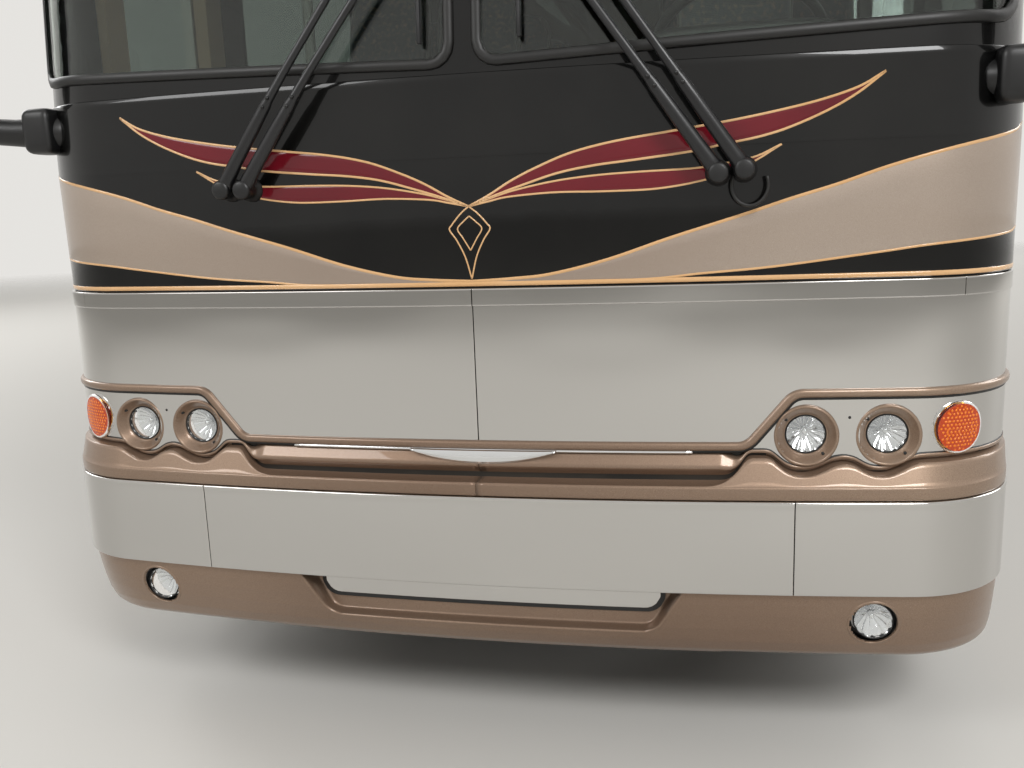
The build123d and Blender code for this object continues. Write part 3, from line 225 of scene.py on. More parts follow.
print("floor", 2 * FLOOR_REACH, "m wide, fading from", FADE_START, "m")

# %% Sky and lamps
SKY_LIGHT, SKY_SEEN = 0.42, 0.92
world = scene.world or bpy.data.worlds.new("studio")
scene.world = world
world.use_nodes = True
sky = world.node_tree
rays = add(sky, "LightPath").outputs
seen = rays["Is Camera Ray"]
for extra in ("Is Glossy Ray", "Is Transmission Ray"):
    seen = add(sky, "Math", {0: seen, 1: rays[extra]}, operation="MAXIMUM").outputs[0]
strength = add(sky, "MapRange", {"Value": seen, "To Min": SKY_LIGHT, "To Max": SKY_SEEN})
wire(sky, sky.nodes["Background"], {"Strength": strength.outputs[0], "Color": srgb("#eeece8")})

LAMPS_ROUND = [("front_left", (-6, -13, 7), (-1, -6, 1), (4, 3), 260),
               ("front_right", (4.5, -13, 7), (0.6, -7, 1), (3, 3), 420),
               ("side_left", (-12, 0, 8), (0, 0, 1.5), (6, 6), 620),
               ("side_right", (12, 1, 8), (0, 0, 1.5), (6, 6), 620),
               ("rear", (2, 14, 6), (0, 6, 1.5), (5, 4), 400)]
for name, place, target, size, power in LAMPS_ROUND:
    lamp = bpy.data.objects.new("lamp_" + name, bpy.data.lights.new("lamp_" + name, "AREA"))
    lamp.data.shape = "RECTANGLE"
    lamp.data.size, lamp.data.size_y = size
    lamp.data.energy = power
    lamp.location = place
    lamp.rotation_euler = (Vector(target) - Vector(place)).to_track_quat("-Z", "Y").to_euler()
    scene.collection.objects.link(lamp)
print(len(LAMPS_ROUND), "lamps")

# %% [markdown]
# Coach paint is a coloured base under clear lacquer. The black is a solid colour, so all its life
# is in the lacquer: a mirror with very slight waves, called orange peel, and a film of fine dust.
# The bronze holds aluminium flakes, so it brightens where the light falls square on it. The spots
# of a noise pattern are about one over its scale in metres.

# %% Lacquered paints


def lacquer(name, colour, flake=0.0, roughness=0.3):
    """Base coat under clear coat, with orange peel in the coat; flake is how metallic the base is."""
    made = finish(name, {
        "Base Color": srgb(colour), "Roughness": roughness, "Metallic": flake, "Specular IOR Level": 0.15,
        "Coat Weight": 0.55, "Coat Roughness": 0.02, "Coat IOR": 1.5})
    _, tree, surface, where = made
    peel = add(tree, "TexNoise", {"Vector": where, "Scale": 9.0, "Detail": 2.0})
    bump = add(tree, "Bump", {"Height": peel.outputs["Fac"], "Distance": 0.0003, "Strength": 0.35})
    wire(tree, surface, {"Coat Normal": bump.outputs["Normal"]})
    return made


def flaked(name, colour, bright):
    """Metallic base coat: flakes about 2 mm apart, drawn coarse enough to show."""
    material, tree, surface, where = lacquer(name, colour, flake=0.55, roughness=0.38)
    flakes = add(tree, "TexNoise", {"Vector": where, "Scale": 900.0, "Detail": 1.0}).outputs["Fac"]
    drift = add(tree, "TexNoise", {"Vector": where, "Scale": 0.8, "Detail": 2.0}).outputs["Fac"]
    both = add(tree, "Math", {0: flakes, 1: drift}, operation="MULTIPLY")
    shine = add(tree, "MapRange", {"Value": both.outputs[0], "From Min": 0.08, "From Max": 0.50})
    tone = add(tree, "Mix", {0: shine.outputs["Result"], 6: srgb(colour), 7: srgb(bright)},
               data_type="RGBA")
    wire(tree, surface, {"Base Color": tone.outputs[2]})
    return material


def solid_paint(name, colour, dusty):
    """Solid base coat: a patchy film of dust lifts the colour and dulls it a little."""
    material, tree, surface, where = lacquer(name, colour, roughness=0.22)
    dust = add(tree, "TexNoise", {"Vector": where, "Scale": 3.0, "Detail": 6.0}).outputs["Fac"]
    share = add(tree, "MapRange", {"Value": dust, "From Min": 0.45, "From Max": 0.75, "To Max": 0.5})
    tone = add(tree, "Mix", {0: share.outputs["Result"], 6: srgb(colour), 7: srgb(dusty)},
               data_type="RGBA")
    wire(tree, surface, {"Base Color": tone.outputs[2]})
    return material


black_paint = solid_paint("black acrylic lacquer", "#070707", "#1c1b19")
bronze_paint = flaked("bronze metallic lacquer", "#725a4a", "#a8927e")
tan_paint = flaked("tan metallic lacquer", "#a08f82", "#bbada0")
gold_paint = solid_paint("gold line enamel", "#e6b987", "#cf9a5c")
maroon_paint = solid_paint("maroon enamel", "#6e1420", "#4a0d16")
print(len(bpy.data.materials), "materials with the paints")

# %% [markdown]
# The wide bright panels are stainless sheet polished to a mirror. Up close such a sheet has dull
# smears where water has dried, far too faint to be a pattern of colour. They are drawn in the
# roughness, and the sheet gets a very shallow wave.

# %% Polished metals


def polished(name, colour, roughness, smear, wave=0.0004):
    """Mirror metal: smears in the roughness and a slow wave in the relief."""
    material, tree, surface, where = finish(name, {"Base Color": srgb(colour), "Metallic": 1.0})
    smears = add(tree, "TexNoise", {"Vector": where, "Scale": 5.0, "Detail": 8.0}).outputs["Fac"]
    rough = add(tree, "MapRange", {"Value": smears, "From Min": 0.4, "From Max": 0.8,
                                   "To Min": roughness, "To Max": roughness + smear})
    along = add(tree, "Mapping", {"Vector": where, "Scale": (1.0, 1.0, 2.2)}).outputs[0]
    slow = add(tree, "TexNoise", {"Vector": along, "Scale": 1.6, "Detail": 1.0}).outputs["Fac"]
    bump = add(tree, "Bump", {"Height": slow, "Distance": wave, "Strength": 1.0})
    wire(tree, surface, {"Roughness": rough.outputs["Result"], "Normal": bump.outputs["Normal"]})
    return material


mirror_steel = polished("mirror-polished stainless sheet", "#c3c1be", 0.02, 0.09, wave=0.006)
chrome = polished("bright chrome plate", "#e2e3e4", 0.04, 0.05)
polished_alloy = polished("polished forged aluminium", "#d2d3d4", 0.10, 0.16)
print(len(bpy.data.materials), "materials with the metals")

# %% [markdown]
# Windshield and cabin glass is laminated and lightly tinted green. Light must reach the seats
# behind it, so to a shadow ray the pane is a pale film, and to the eye it is refracting glass.

# %% Glass


def glazing(name, colour, film_colour):
    """Tinted pane: refracting glass to the eye, a tinted film to shadow rays."""
    material, tree, surface, _ = finish(name, {"Base Color": srgb(colour), "Roughness": 0.0, "IOR": 1.45,
                                               "Transmission Weight": 1.0})
    film = add(tree, "BsdfTransparent", {"Color": srgb(film_colour)}).outputs[0]
    shadow = add(tree, "LightPath").outputs["Is Shadow Ray"]
    pane = add(tree, "MixShader", {0: shadow, 1: surface.outputs[0], 2: film})
    wire(tree, tree.nodes["Material Output"], {"Surface": pane.outputs[0]})
    return material


front_glass = glazing("tinted laminated windshield", "#dfe9e2", "#d5e0d8")
side_glass = glazing("dark tinted coach glass", "#5d6562", "#6c7471")
clear_lens = glazing("clear moulded polycarbonate", "#f4f6f6", "#f2f4f4")
gold_rim = glazing("clear gold polycarbonate", "#e8a43a", "#e0a850")
print(len(bpy.data.materials), "materials with the glass")

# %% [markdown]
# Black rubber and plastic differ in how they scatter: extruded EPDM rubber is dull and slightly
# grey with age, moulded ABS has a fine leather-like grain, and tyre rubber is dusty with a brown
# cast. The grain is a bump, never a colour, because it is pressed into the mould.

# %% Rubbers and plastics


def grained(name, colour, pale, roughness, grain, depth):
    """Moulded surface: a grain of the given size in metres, and a drift of colour."""
    plain = {"Base Color": srgb(colour), "Roughness": roughness, "IOR": 1.5}
    material, tree, surface, where = finish(name, plain)
    drift = add(tree, "TexNoise", {"Vector": where, "Scale": 4.0, "Detail": 5.0}).outputs["Fac"]
    share = add(tree, "MapRange", {"Value": drift, "From Min": 0.35, "From Max": 0.75})
    tone = add(tree, "Mix", {0: share.outputs["Result"], 6: srgb(colour), 7: srgb(pale)},
               data_type="RGBA")
    pebble = add(tree, "TexVoronoi", {"Vector": where, "Scale": 1.0 / grain}).outputs["Distance"]
    bump = add(tree, "Bump", {"Height": pebble, "Distance": depth, "Strength": 1.0})
    rough = add(tree, "MapRange", {"Value": drift, "From Min": 0.3, "From Max": 0.7,
                                   "To Min": roughness - 0.06, "To Max": roughness + 0.08})
    wire(tree, surface, {"Base Color": tone.outputs[2], "Normal": bump.outputs["Normal"],
                         "Roughness": rough.outputs["Result"]})
    return material


gasket_rubber = grained("extruded EPDM rubber", "#101010", "#1d1c1b", 0.42, 0.004, 0.0001)
tyre_rubber = grained("carbon-black tyre rubber", "#191817", "#2a2723", 0.68, 0.006, 0.0003)
black_abs = grained("grained black ABS", "#0e0e0f", "#171718", 0.38, 0.002, 0.0001)
satin_steel = grained("satin black coated steel", "#121214", "#202022", 0.32, 0.003, 0.00005)
grey_abs = grained("grained warm grey ABS", "#4a4744", "#57534f", 0.55, 0.003, 0.0002)
floor_vinyl = grained("flecked floor vinyl", "#3b3a38", "#4a4845", 0.6, 0.008, 0.0002)
chassis_paint = grained("chassis black over road dust", "#1b1a18", "#3a352e", 0.6, 0.02, 0.0006)
air_bag = grained("ribbed air-spring rubber", "#151515", "#24221f", 0.6, 0.02, 0.0008)
print(len(bpy.data.materials), "materials with rubbers and plastics")

# %% [markdown]
# Signal lenses are coloured polycarbonate with pips moulded on the inner face, and each pip
# throws back a point of light; that point of light is painted into the lens as a brighter dot
# of its colour at each pip. Seats wear a woven wool moquette over foam: its threads, a
# millimetre or so apart, are drawn at 3 mm so that they show, with a soft sheen for the pile.

# %% Signal lenses and seat cloth


def lens_with_painted_glints(name, deep, bright, spacing=0.010):
    """Lens with pips: a Voronoi pattern without randomness gives a regular field of cells, whose middles
    are painted the bright colour as each pip's highlight.
    """
    material, tree, surface, where = finish(name, {
        "Base Color": srgb(deep), "Roughness": 0.08, "IOR": 1.45, "Coat Weight": 0.2,
        "Coat Roughness": 0.02, "Emission Strength": 0.10, "Emission Color": srgb(deep)})
    cells = add(tree, "TexVoronoi", {"Vector": where, "Scale": 1.0 / spacing, "Randomness": 0.0})
    # Painted highlight: the middle of each cell is mixed towards the bright colour, as the point of light a
    # pip throws back.
    dot = add(tree, "MapRange", {"Value": cells.outputs["Distance"], "From Min": 0.18, "From Max": 0.42,
                                 "To Min": 1.0, "To Max": 0.0})
    tone = add(tree, "Mix", {0: dot.outputs["Result"], 6: srgb(deep), 7: srgb(bright)},
               data_type="RGBA")
    wire(tree, surface, {"Base Color": tone.outputs[2]})
    return material


def moquette(name, colour, fleck, thread=0.003):
    """Woven pile: two crossed wave patterns for the threads, sheen for the pile."""
    plain = {"Base Color": srgb(colour), "Roughness": 0.9, "Sheen Weight": 0.35, "IOR": 1.45}
    material, tree, surface, where = finish(name, plain)
    weave = [add(tree, "TexWave", {"Vector": where, "Scale": 0.16 / thread},
                 bands_direction=direction).outputs["Fac"] for direction in "YZ"]
    cross = add(tree, "Math", {0: weave[0], 1: weave[1]}, operation="MULTIPLY").outputs[0]
    bump = add(tree, "Bump", {"Height": cross, "Distance": 0.0008, "Strength": 1.0})
    flecks = add(tree, "TexNoise", {"Vector": where, "Scale": 60.0, "Detail": 3.0}).outputs["Fac"]
    share = add(tree, "MapRange", {"Value": flecks, "From Min": 0.5, "From Max": 0.7, "To Max": 0.7})
    tone = add(tree, "Mix", {0: share.outputs["Result"], 6: srgb(colour), 7: srgb(fleck)},
               data_type="RGBA")
    wire(tree, surface, {"Base Color": tone.outputs[2], "Normal": bump.outputs["Normal"]})
    return material


amber_lens = lens_with_painted_glints("amber polycarbonate", "#b83c04", "#e2700f")
red_lens = lens_with_painted_glints("red polycarbonate", "#8e0f12", "#e04038")
# The modelled pips are painted a paler amber than the lens, with a faint glow: painted highlight.
painted_pip_glint = finish("amber pip with painted glint", {"Base Color": srgb("#ec8016"), "Roughness": 0.15,
                                     "Emission Color": srgb("#ff8a1e"), "Emission Strength": 0.08})[0]
seat_cloth = moquette("woven wool moquette", "#3a3b40", "#6b5b4c")
print(len(bpy.data.materials), "materials in all")

# %% [markdown]
# The nodes of the frame that already have the right shape keep it and only take a finish. The
# list pairs each finish with its nodes, which also shows at a glance what the coach is made of.

# %% Dress the frame's own nodes
WHEELS = [f"{place}_{side}" for place in ("front", "drive", "tag") for _, side in SIDES]
LUGGAGE_DOORS = [f"luggage_door_{side}_{number}" for _, side in SIDES for number in (1, 2, 3)]
DRESS = [
    (black_paint, "front_upper_panel front_cap roof side_walls windshield_frame"),
    (bronze_paint, "bumper_fascia bumper_valance front_trim_moulding headlamp_rings skirt_panels "
                   "rear_bumper rear_cap entrance_door engine_door " + " ".join(LUGGAGE_DOORS)),
    (mirror_steel, "front_steel_panel bumper_steel_band polished_plates"),
    (front_glass, "windshield"),
    (side_glass, "cabin_windows entrance_door_glass"),
    (gasket_rubber, "windshield_gasket"),
    (clear_lens, "front_lamps"),
    (amber_lens, "amber_signals"),
    (red_lens, "tail_lamps"),
    (satin_steel, "wipers hinge_pins"),
    (black_abs, "mirrors steering_wheel"),
    (grey_abs, "dashboard"),
    (floor_vinyl, "floor_deck entry_steps"),
    (seat_cloth, "seats"),
    (chassis_paint, "underframe axles knuckle_left knuckle_right tie_rod nose_frame engine_block"),
    (air_bag, "air_springs"),
    (chrome, "mirror_glass"),
    (tyre_rubber, " ".join("tyre_" + wheel for wheel in WHEELS)),
    (polished_alloy, " ".join("rim_" + wheel for wheel in WHEELS))]
dressed = {name: material for material, names in DRESS for name in names.split()}
for name, material in dressed.items():
    nodes[name].data.materials.clear()
    nodes[name].data.materials.append(material)
print("nodes without a finish", sorted(set(nodes) - set(dressed)))

# %% [markdown]
# Every panel of the nose follows one plan: a shallow arc of nine metres across the front, round
# corners, then straight sides. So the plan is written once, as a function of the distance walked
# along it, and each panel is a grid over that distance and a second one up the panel.

# %% The plan of the nose
HALF, ARC, CORNER, WRAP, FACE = 1.2955, 9.0, 0.300, 0.458, -6.808
HUB_X = HALF - CORNER
FRONT_ANGLE = math.asin(HUB_X / (ARC - CORNER))
FRONT_RUN = ARC * FRONT_ANGLE
CORNER_RUN = CORNER * (math.pi / 2 - FRONT_ANGLE)
SIDE_RUN = WRAP - ARC + math.sqrt((ARC - CORNER) ** 2 - HUB_X ** 2)
FULL_RUN = FRONT_RUN + CORNER_RUN + SIDE_RUN


def nose_plan(s, proud=0.0, side=0.0, setback=0.0):
    """Place and outward normal at arc length s, positive to the right.

    The front is reach * (sin a, 1 - cos a), the corner a circle tangent to it, and the rest
    straight back to the end of the wrap. proud grows the whole plan along its normal; setback
    draws in the front arc alone, and side the flanks alone.
    """
    t = np.abs(s)
    reach = ARC - setback
    hub_x, hub = HALF + side - CORNER, reach - CORNER
    corner_y = ARC - np.sqrt(hub ** 2 - hub_x ** 2)
    first = np.arcsin(hub_x / hub)
    a = np.clip(t / FRONT_RUN, 0, 1) * first
    b = first + np.clip((t - FRONT_RUN) / CORNER_RUN, 0, 1) * (math.pi / 2 - first)
    back = np.clip((t - FRONT_RUN - CORNER_RUN) / SIDE_RUN, 0, None) * (WRAP - corner_y)
    ahead = t <= FRONT_RUN
    angle = np.where(ahead, a, b)
    x = np.where(ahead, reach * np.sin(a), hub_x + CORNER * np.sin(b)) + proud * np.sin(angle)
    y = np.where(ahead, ARC - reach * np.cos(a), corner_y - CORNER * np.cos(b)) + back
    y = y - proud * np.cos(angle)
    way = np.where(np.asarray(s) < 0, -1.0, 1.0)
    return x * way, FACE + y, np.sin(angle) * way, -np.cos(angle)


# %% Walking the plan


def run_at(x):
    """Arc length along the plan at front-view distance x from the middle."""
    t = np.abs(np.asarray(x, dtype=float))
    on_arc = ARC * np.arcsin(np.clip(t / ARC, 0, 1))
    turn = np.arcsin(np.clip((t - HUB_X) / CORNER, -1, 1))
    on_corner = FRONT_RUN + CORNER * (turn - FRONT_ANGLE)
    return np.sign(x) * np.where(on_arc <= FRONT_RUN, on_arc, on_corner)


def uneven(start, *legs):
    """Distances from start through (stop, gap) legs, evenly spaced on each and no wider than gap."""
    parts = []
    for stop, gap in legs:
        parts.append(np.linspace(start, stop, max(2, int(np.ceil((stop - start) / gap)) + 1))[:-1])
        start = stop
    return np.append(np.concatenate(parts), start)


def stations(start, *stops, gap=0.02):
    """Distances through the stops with one gap for all."""
    return uneven(start, *[(stop, gap) for stop in stops])


def skin(s, z, proud, **plan):
    """Points of the nose at arc length s and height z, standing proud of the plan."""
    s, z, proud = np.broadcast_arrays(s, z, proud)
    x, y, _, _ = nose_plan(s, proud=proud, **plan)
    return np.stack([x, y, z], -1)


print("nose plan: front", round(FRONT_RUN, 4), "corner", round(CORNER_RUN, 4), "side", round(SIDE_RUN, 4))

# %% [markdown]
# The bronze moulding is one extruded strip that runs level under the steel, climbs beside the
# headlamps and carries on round the corners. Its path is a line with four equal fillets, so it is
# walked as straight, arc, straight, arc, straight, and the other panels read their edges from it.

# %% The moulding's path
STRIP_LOW, STRIP_HIGH = 0.8335, 0.9620
KNEE_IN, KNEE_OUT, KNEE_RADIUS = 0.655, 0.762, 0.050
PLATE_IN = float(run_at(0.668))


def strip_path():
    """Right half of the path as arc length and height, dense in the bends.

    Each bend is a circle tangent to both straights: it starts radius * tan(angle / 2) before
    the corner and turns through the slope's angle.
    """
    slope = math.atan2(STRIP_HIGH - STRIP_LOW, KNEE_OUT - KNEE_IN)
    lead = KNEE_RADIUS * math.tan(slope / 2)
    turn = np.linspace(0, slope, 15)
    across, climb = KNEE_RADIUS * np.sin(turn), KNEE_RADIUS * (1 - np.cos(turn))
    level_x = np.arange(0, KNEE_IN - lead, 0.03)
    s = run_at(np.concatenate([level_x, KNEE_IN - lead + across, KNEE_OUT + lead - across[::-1]]))
    z = np.concatenate([np.full(len(level_x), STRIP_LOW), STRIP_LOW + climb, STRIP_HIGH - climb[::-1]])
    tail = stations(s[-1] + 0.02, FULL_RUN, gap=0.012)
    return np.concatenate([s, tail]), np.concatenate([z, np.full(len(tail), STRIP_HIGH)])


half_s, half_z = strip_path()
PATH_S = np.concatenate([-half_s[:0:-1], half_s])
PATH_Z = np.concatenate([half_z[:0:-1], half_z])


def strip_z(s):
    """Height of the moulding's centre line at arc length s."""
    return np.interp(np.abs(s), half_s, half_z)


# %% Ribbons along a path


def sideways(path_s, path_z, across):
    """Points at each distance across to the left of a path, measured on the skin.

    At each path point the sideways direction is the path's direction turned by a right angle.
    """
    ds, dz = np.gradient(path_s), np.gradient(path_z)
    size = np.hypot(ds, dz) + 1e-12
    s, z, ds, dz = (values[:, None] for values in (path_s, path_z, ds / size, dz / size))
    return s - dz * across, z + ds * across


def ribbon(path_s, path_z, across, rise):
    """Carry a section along a path drawn on the nose; rise is its height over the skin."""
    s, z = sideways(path_s, path_z, np.array(across))
    return skin(s, z, rise)


# %% Make the moulding: a D-shaped section with a small foot each side
angle = np.linspace(0, math.pi, 15)
section_across = np.concatenate([[-0.0105], -0.0105 * np.cos(angle), [0.0105]])
section_rise = np.concatenate([[-0.009], 0.0105 * np.sin(angle) ** 0.7 - 0.001, [-0.009]])
settle(sheet("trim_moulding", [ribbon(PATH_S, PATH_Z, section_across, section_rise)], [bronze_paint]),
       ["front_trim_moulding"])

# %% [markdown]
# The steel above the moulding is two sheets that meet in the middle, with a folded upper strip
# that overlaps them and stands a few millimetres proud. The sheets' lower edge hides under the
# moulding, so the grid's rows run from the moulding's own line up to the strip.

# %% Steel front panel
STEEL_TOP, STEP_Z, SEAM = 1.225, 1.181, 0.0008
EDGE_IN = np.array([0.0, 0.0, 0.3, 1.0])
EDGE_FALL = np.array([0.0, 1.0, 0.3, 0.0])


def panel_grid(s0, s1, low, high, proud, radius=0.002, depth=0.010, rows=8, gap=0.02, **plan):
    """A panel of the nose between two arc lengths and two edge lines, with rolled edges.

    low, high and proud are functions of arc length (proud also of height). A row is a share
    of the way between the edge lines. Each edge starts depth behind the face, comes forward
    to one radius behind it, and turns onto the face over a radius.
    """
    lift, edge_fall = EDGE_IN * radius, EDGE_FALL * radius
    edge_fall[0] = depth
    inner = stations(s0 + 2 * radius, s1 - 2 * radius, gap=gap)
    s = np.concatenate([s0 + lift, inner, (s1 - lift)[::-1]])
    foot, head = low(s)[:, None], high(s)[:, None]
    z = foot + 2 * radius + (head - foot - 4 * radius) * np.linspace(0, 1, rows)
    z = np.concatenate([foot + lift, z, head - lift[::-1]], 1)
    s_fall, z_fall = (np.concatenate([edge_fall, np.zeros(count), edge_fall[::-1]])
                      for count in (len(inner), rows))
    return skin(s[:, None], z, proud(s[:, None], z) - np.maximum(s_fall[:, None], z_fall), **plan)


def level(value):
    """A constant edge line."""
    return lambda s, z=0.0: np.full(np.broadcast_shapes(np.shape(s), np.shape(z)), value)


lower = [panel_grid(a, b, lambda s: strip_z(s) - 0.004, level(STEP_Z + 0.006), level(-0.0005), rows=14)
         for a, b in ((-FULL_RUN, -SEAM), (SEAM, FULL_RUN))]
cuts = (-FULL_RUN, -1.145, -SEAM, 1.145, FULL_RUN)
folded = [panel_grid(a + SEAM, b - SEAM, level(STEP_Z), level(STEEL_TOP - 0.001), level(0.0025),
                     radius=0.0018, rows=3) for a, b in zip(cuts[:-1], cuts[1:])]
settle(sheet("steel_front_panel", lower + folded, [mirror_steel]), ["front_steel_panel"])

# %% [markdown]
# The bumper band is three pressings butted at two seams, with a bright rolled lip along the top
# that catches the sky. It stands furthest out of all, so its plan is the nose's own with the
# front drawn forward and nearly nothing added at the sides.

# %% Bumper band
BAND_LOW, BAND_HIGH, BAND_OUT = 0.476, 0.710, 0.050
SEAM_RUN = float(run_at(0.763))


def band_face(s, z):
    """Proud of the band over its plan: a rolled lip 9 mm high on top, drawn in 2 mm below it."""
    lip = np.clip((z - (BAND_HIGH - 0.010)) / 0.010, 0, 1)
    return 0.002 * np.sin(math.pi * lip) - 0.001


pressings = [panel_grid(a, b, level(BAND_LOW), level(BAND_HIGH), band_face, rows=26, depth=0.016,
                        setback=-BAND_OUT, side=0.004)
             for a, b in ((-FULL_RUN, -SEAM_RUN - SEAM), (-SEAM_RUN + SEAM, SEAM_RUN - SEAM),
                          (SEAM_RUN + SEAM, FULL_RUN))]
settle(sheet("bumper_band", pressings, [mirror_steel]), ["bumper_steel_band"])

# %% [markdown]
# The fascia is the bronze moulding between steel and band. Its fat lower lip has a crisp upper
# edge, over which a shell slopes back to a shadow gap, and over the gap an inner layer carries
# the headlamp plates. In the middle the shell stops at the lip, so the gap opens into a scoop
# whose ends rise in an S. All of that is one grid: each row is a pair of height and proudness,
# and both are blended between the scoop's profile and the profile beside it.

# %% Fascia edge line
LIP_Z = 0.7445
FOOT_X = [0, .560, .575, .598, .617, .634, .646, .653, .662, .700, .712, .724, .745, .765, .785, .805,
          .830, .852, .878, .902, .922, .940, .960, .980, 1.005, 1.025, 1.045, 1.070, 1.295]
FOOT_Z = [.7455, .7455, .747, .7525, .7645, .780, .7955, .8055, .8085, .8085, .805, .793, .776, .7685,
          .767, .769, .779, .790, .7945, .789, .776, .768, .766, .768, .779, .790, .796, .797, .797]
fine_s = np.arange(0, FULL_RUN + 0.002, 0.002)
fine_z = np.interp(fine_s, run_at(np.array(FOOT_X)), FOOT_Z)
for _ in range(2):
    fine_z = np.convolve(np.pad(fine_z, 3, mode="edge"), np.ones(7) / 7, mode="valid")


def foot_z(s):
    """Upper edge of the fascia's shell: a line read off the picture, smoothed over 14 mm."""
    return np.interp(np.abs(s), fine_s, fine_z)


def smooth(t):
    """Smoothstep: 3 t squared less 2 t cubed, clamped to 0 and 1."""
    t = np.clip(t, 0, 1)
    return t * t * (3 - 2 * t)


# %% Fascia


def fascia_grid(s):
    """Rows of the fascia over arc lengths s, from under the lip to under the moulding."""
    top = foot_z(s)[:, None]
    beside = smooth((np.abs(s) - run_at(0.590)) / (run_at(0.662) - run_at(0.590)))[:, None]
    lip_z = [.7120, .7110, .7120, .7150, .7200, .7280, .7360, .7415, .7438]
    lip_out = [.0300, .0400, .0445, .0462, .0466, .0468, .0466, .0460, .0448]
    shell_z = LIP_Z + (top - LIP_Z) * np.linspace(0, 1, 6)
    shell_out = 0.0435 - (shell_z - LIP_Z) * 0.42
    edge_z = top + np.array([0.0004, 0.0010])
    edge_out = shell_out[:, -1:] - np.array([0.0015, 0.0045])
    gap_z = np.array([.7470, .7560, .7700, .7765, .7800, .7840, .7920, .8080, .8280])
    gap_out = np.array([-.012, -.014, .000, .0095, .0135, .0140, .0105, -.0010, -.0080])
    ledge_z = top + np.array([.0014, .0045, .0080, .0090, .0098, .0112, .0140, .0175, .0185])
    ledge_out = np.array([-.012, -.014, -.012, -.004, .0020, .0034, .0036, .0034, -.0060])
    rows = ((lip_z, shell_z, edge_z, gap_z, ledge_z), (lip_out, shell_out, edge_out, gap_out, ledge_out))
    z, out = (np.concatenate([np.tile(lip, (len(s), 1)), shell, edge,
                              gap * (1 - beside) + ledge * beside], 1)
              for lip, shell, edge, gap, ledge in rows)
    return skin(s[:, None], z, np.minimum(out, 0), setback=-np.maximum(out, 0), side=0.002)


dense = uneven(0.0006, (run_at(0.55), 0.02), (run_at(1.08), 0.003), (FULL_RUN, 0.012))
fascia = settle(sheet("bumper_fascia_cover", [fascia_grid(dense), fascia_grid(-dense[::-1])],
                      [bronze_paint]), ["bumper_fascia"])
wall = fascia.modifiers.new("wall", "SOLIDIFY")
wall.thickness, wall.offset = 0.003, -1.0

# %% [markdown]
# The lamp plates are the same polished sheet, tucked under the moulding above and the fascia's
# ledge below. Holes for the lamps are cut by dropping the faces inside a circle, and the ragged
# rim that leaves is covered by each lamp's surround, as the real cut edge is.

# %% Headlamp plates
WAYS = (-1, 1)
LAMPS = [(0.791, 0.860), (0.977, 0.860)]
LAMP_HOLE, LEDGE_RISE = 0.066, 0.0165


def off_lamps(centres):
    """True where a face's middle is more than 66 mm from both lamp centres of its side."""
    distance = [np.hypot(np.abs(centres[:, 0]) - x, centres[:, 2] - z) for x, z in LAMPS]
    return np.minimum(*distance) > LAMP_HOLE


plates = [panel_grid(a, b, lambda s: foot_z(s) + LEDGE_RISE, lambda s: strip_z(s) - 0.007, level(0.001),
                     radius=0.001, depth=0.006, rows=28, gap=0.005)
          for a, b in ((PLATE_IN, FULL_RUN), (-FULL_RUN, -PLATE_IN))]
settle(sheet("lamp_plates", plates, [mirror_steel], keep=off_lamps), ["polished_plates"])

# %% [markdown]
# Headlamp surrounds, lens and bowl are turned shapes, so each is a profile of radius and depth
# swept round the lamp's axis, which points straight ahead. The bowl is pressed into facets that
# break the bulb's light up: its depth swings with the angle. Fog lamps are the same lamp, set
# into the valance below.

# %% Turned shapes
POLE = 0.001


def turned(centre, profile, around=64, facets=0, facet_depth=0.0, shift=0.0):
    """Sweep a profile of (radius, forward) round an axis along -y through centre.

    With facets, the depth swings by a sine of that many waves, scaled by the radius. A radius
    under POLE is a pole and becomes zero.
    """
    radius, ahead = np.array(profile, dtype=float).T
    turn = full_turn(around)
    radius = np.where(radius < POLE, 0.0, radius)
    ahead = ahead + shift + facet_depth * np.abs(np.sin(facets * turn / 2)) * (radius / radius.max())
    x, z = centre[0] + radius * np.cos(turn), centre[2] + radius * np.sin(turn)
    return np.stack([x, centre[1] - ahead, z], -1)


def skin_y(x):
    """Depth of the nose's skin at front-view distance x."""
    return float(nose_plan(float(run_at(x)))[1])


# %% Headlamps
RING = [(.0745, -.030), (.0750, .0020), (.0745, .0060), (.0730, .0085), (.0705, .0098), (.0680, .0092),
        (.0665, .0074), (.0560, -.0060), (.0510, -.0128), (.0500, -.0134), (.0488, -.0128),
        (.0478, -.0138), (.0474, -.0180), (.0474, -.0400)]
SEAL = [(.0476, -.0160), (.0470, -.0128), (.0455, -.0118), (.0440, -.0128), (.0436, -.0180)]
LENS = [(0.0440 * r, -0.0165 + 0.0075 * (1 - r ** 2)) for r in np.linspace(1, 0.02, 9)]
BOWL = [(0.0440 * r, -0.0480 + 0.0290 * r ** 2) for r in np.linspace(1, 0.12, 12)]
BULB = [(.0075, -.0480), (.0075, -.0330), (.0068, -.0300), (.0045, -.0282), (.0006, -.0278)]
SCREW = [(.0036, -.0060), (.0036, .0020), (.0032, .0024), (.0002, .0024)]
rings, seals, lenses, bowls, holes = [], [], [], [], []


def lamp(middle, seal_list, facets, depth, shift=0.0):
    """Seal, lens, bowl and bulb of one lamp."""
    seal_list.append(turned(middle, SEAL, shift=shift))
    lenses.append(turned(middle, LENS, shift=shift))
    bowls.append(turned(middle, BOWL, 96, facets, depth, shift))
    bowls.append(turned(middle, BULB, 24, shift=shift))


for x, z in LAMPS:
    for way in WAYS:
        middle = (way * x, skin_y(x), z)
        rings.append(turned(middle, RING, around=96))
        lamp(middle, seals, 16, 0.004)
settle(from_grids("headlamp_surrounds", rings + seals, [bronze_paint, gasket_rubber], [0] * 4 + [1] * 4,
                  closed=True), ["headlamp_rings"])
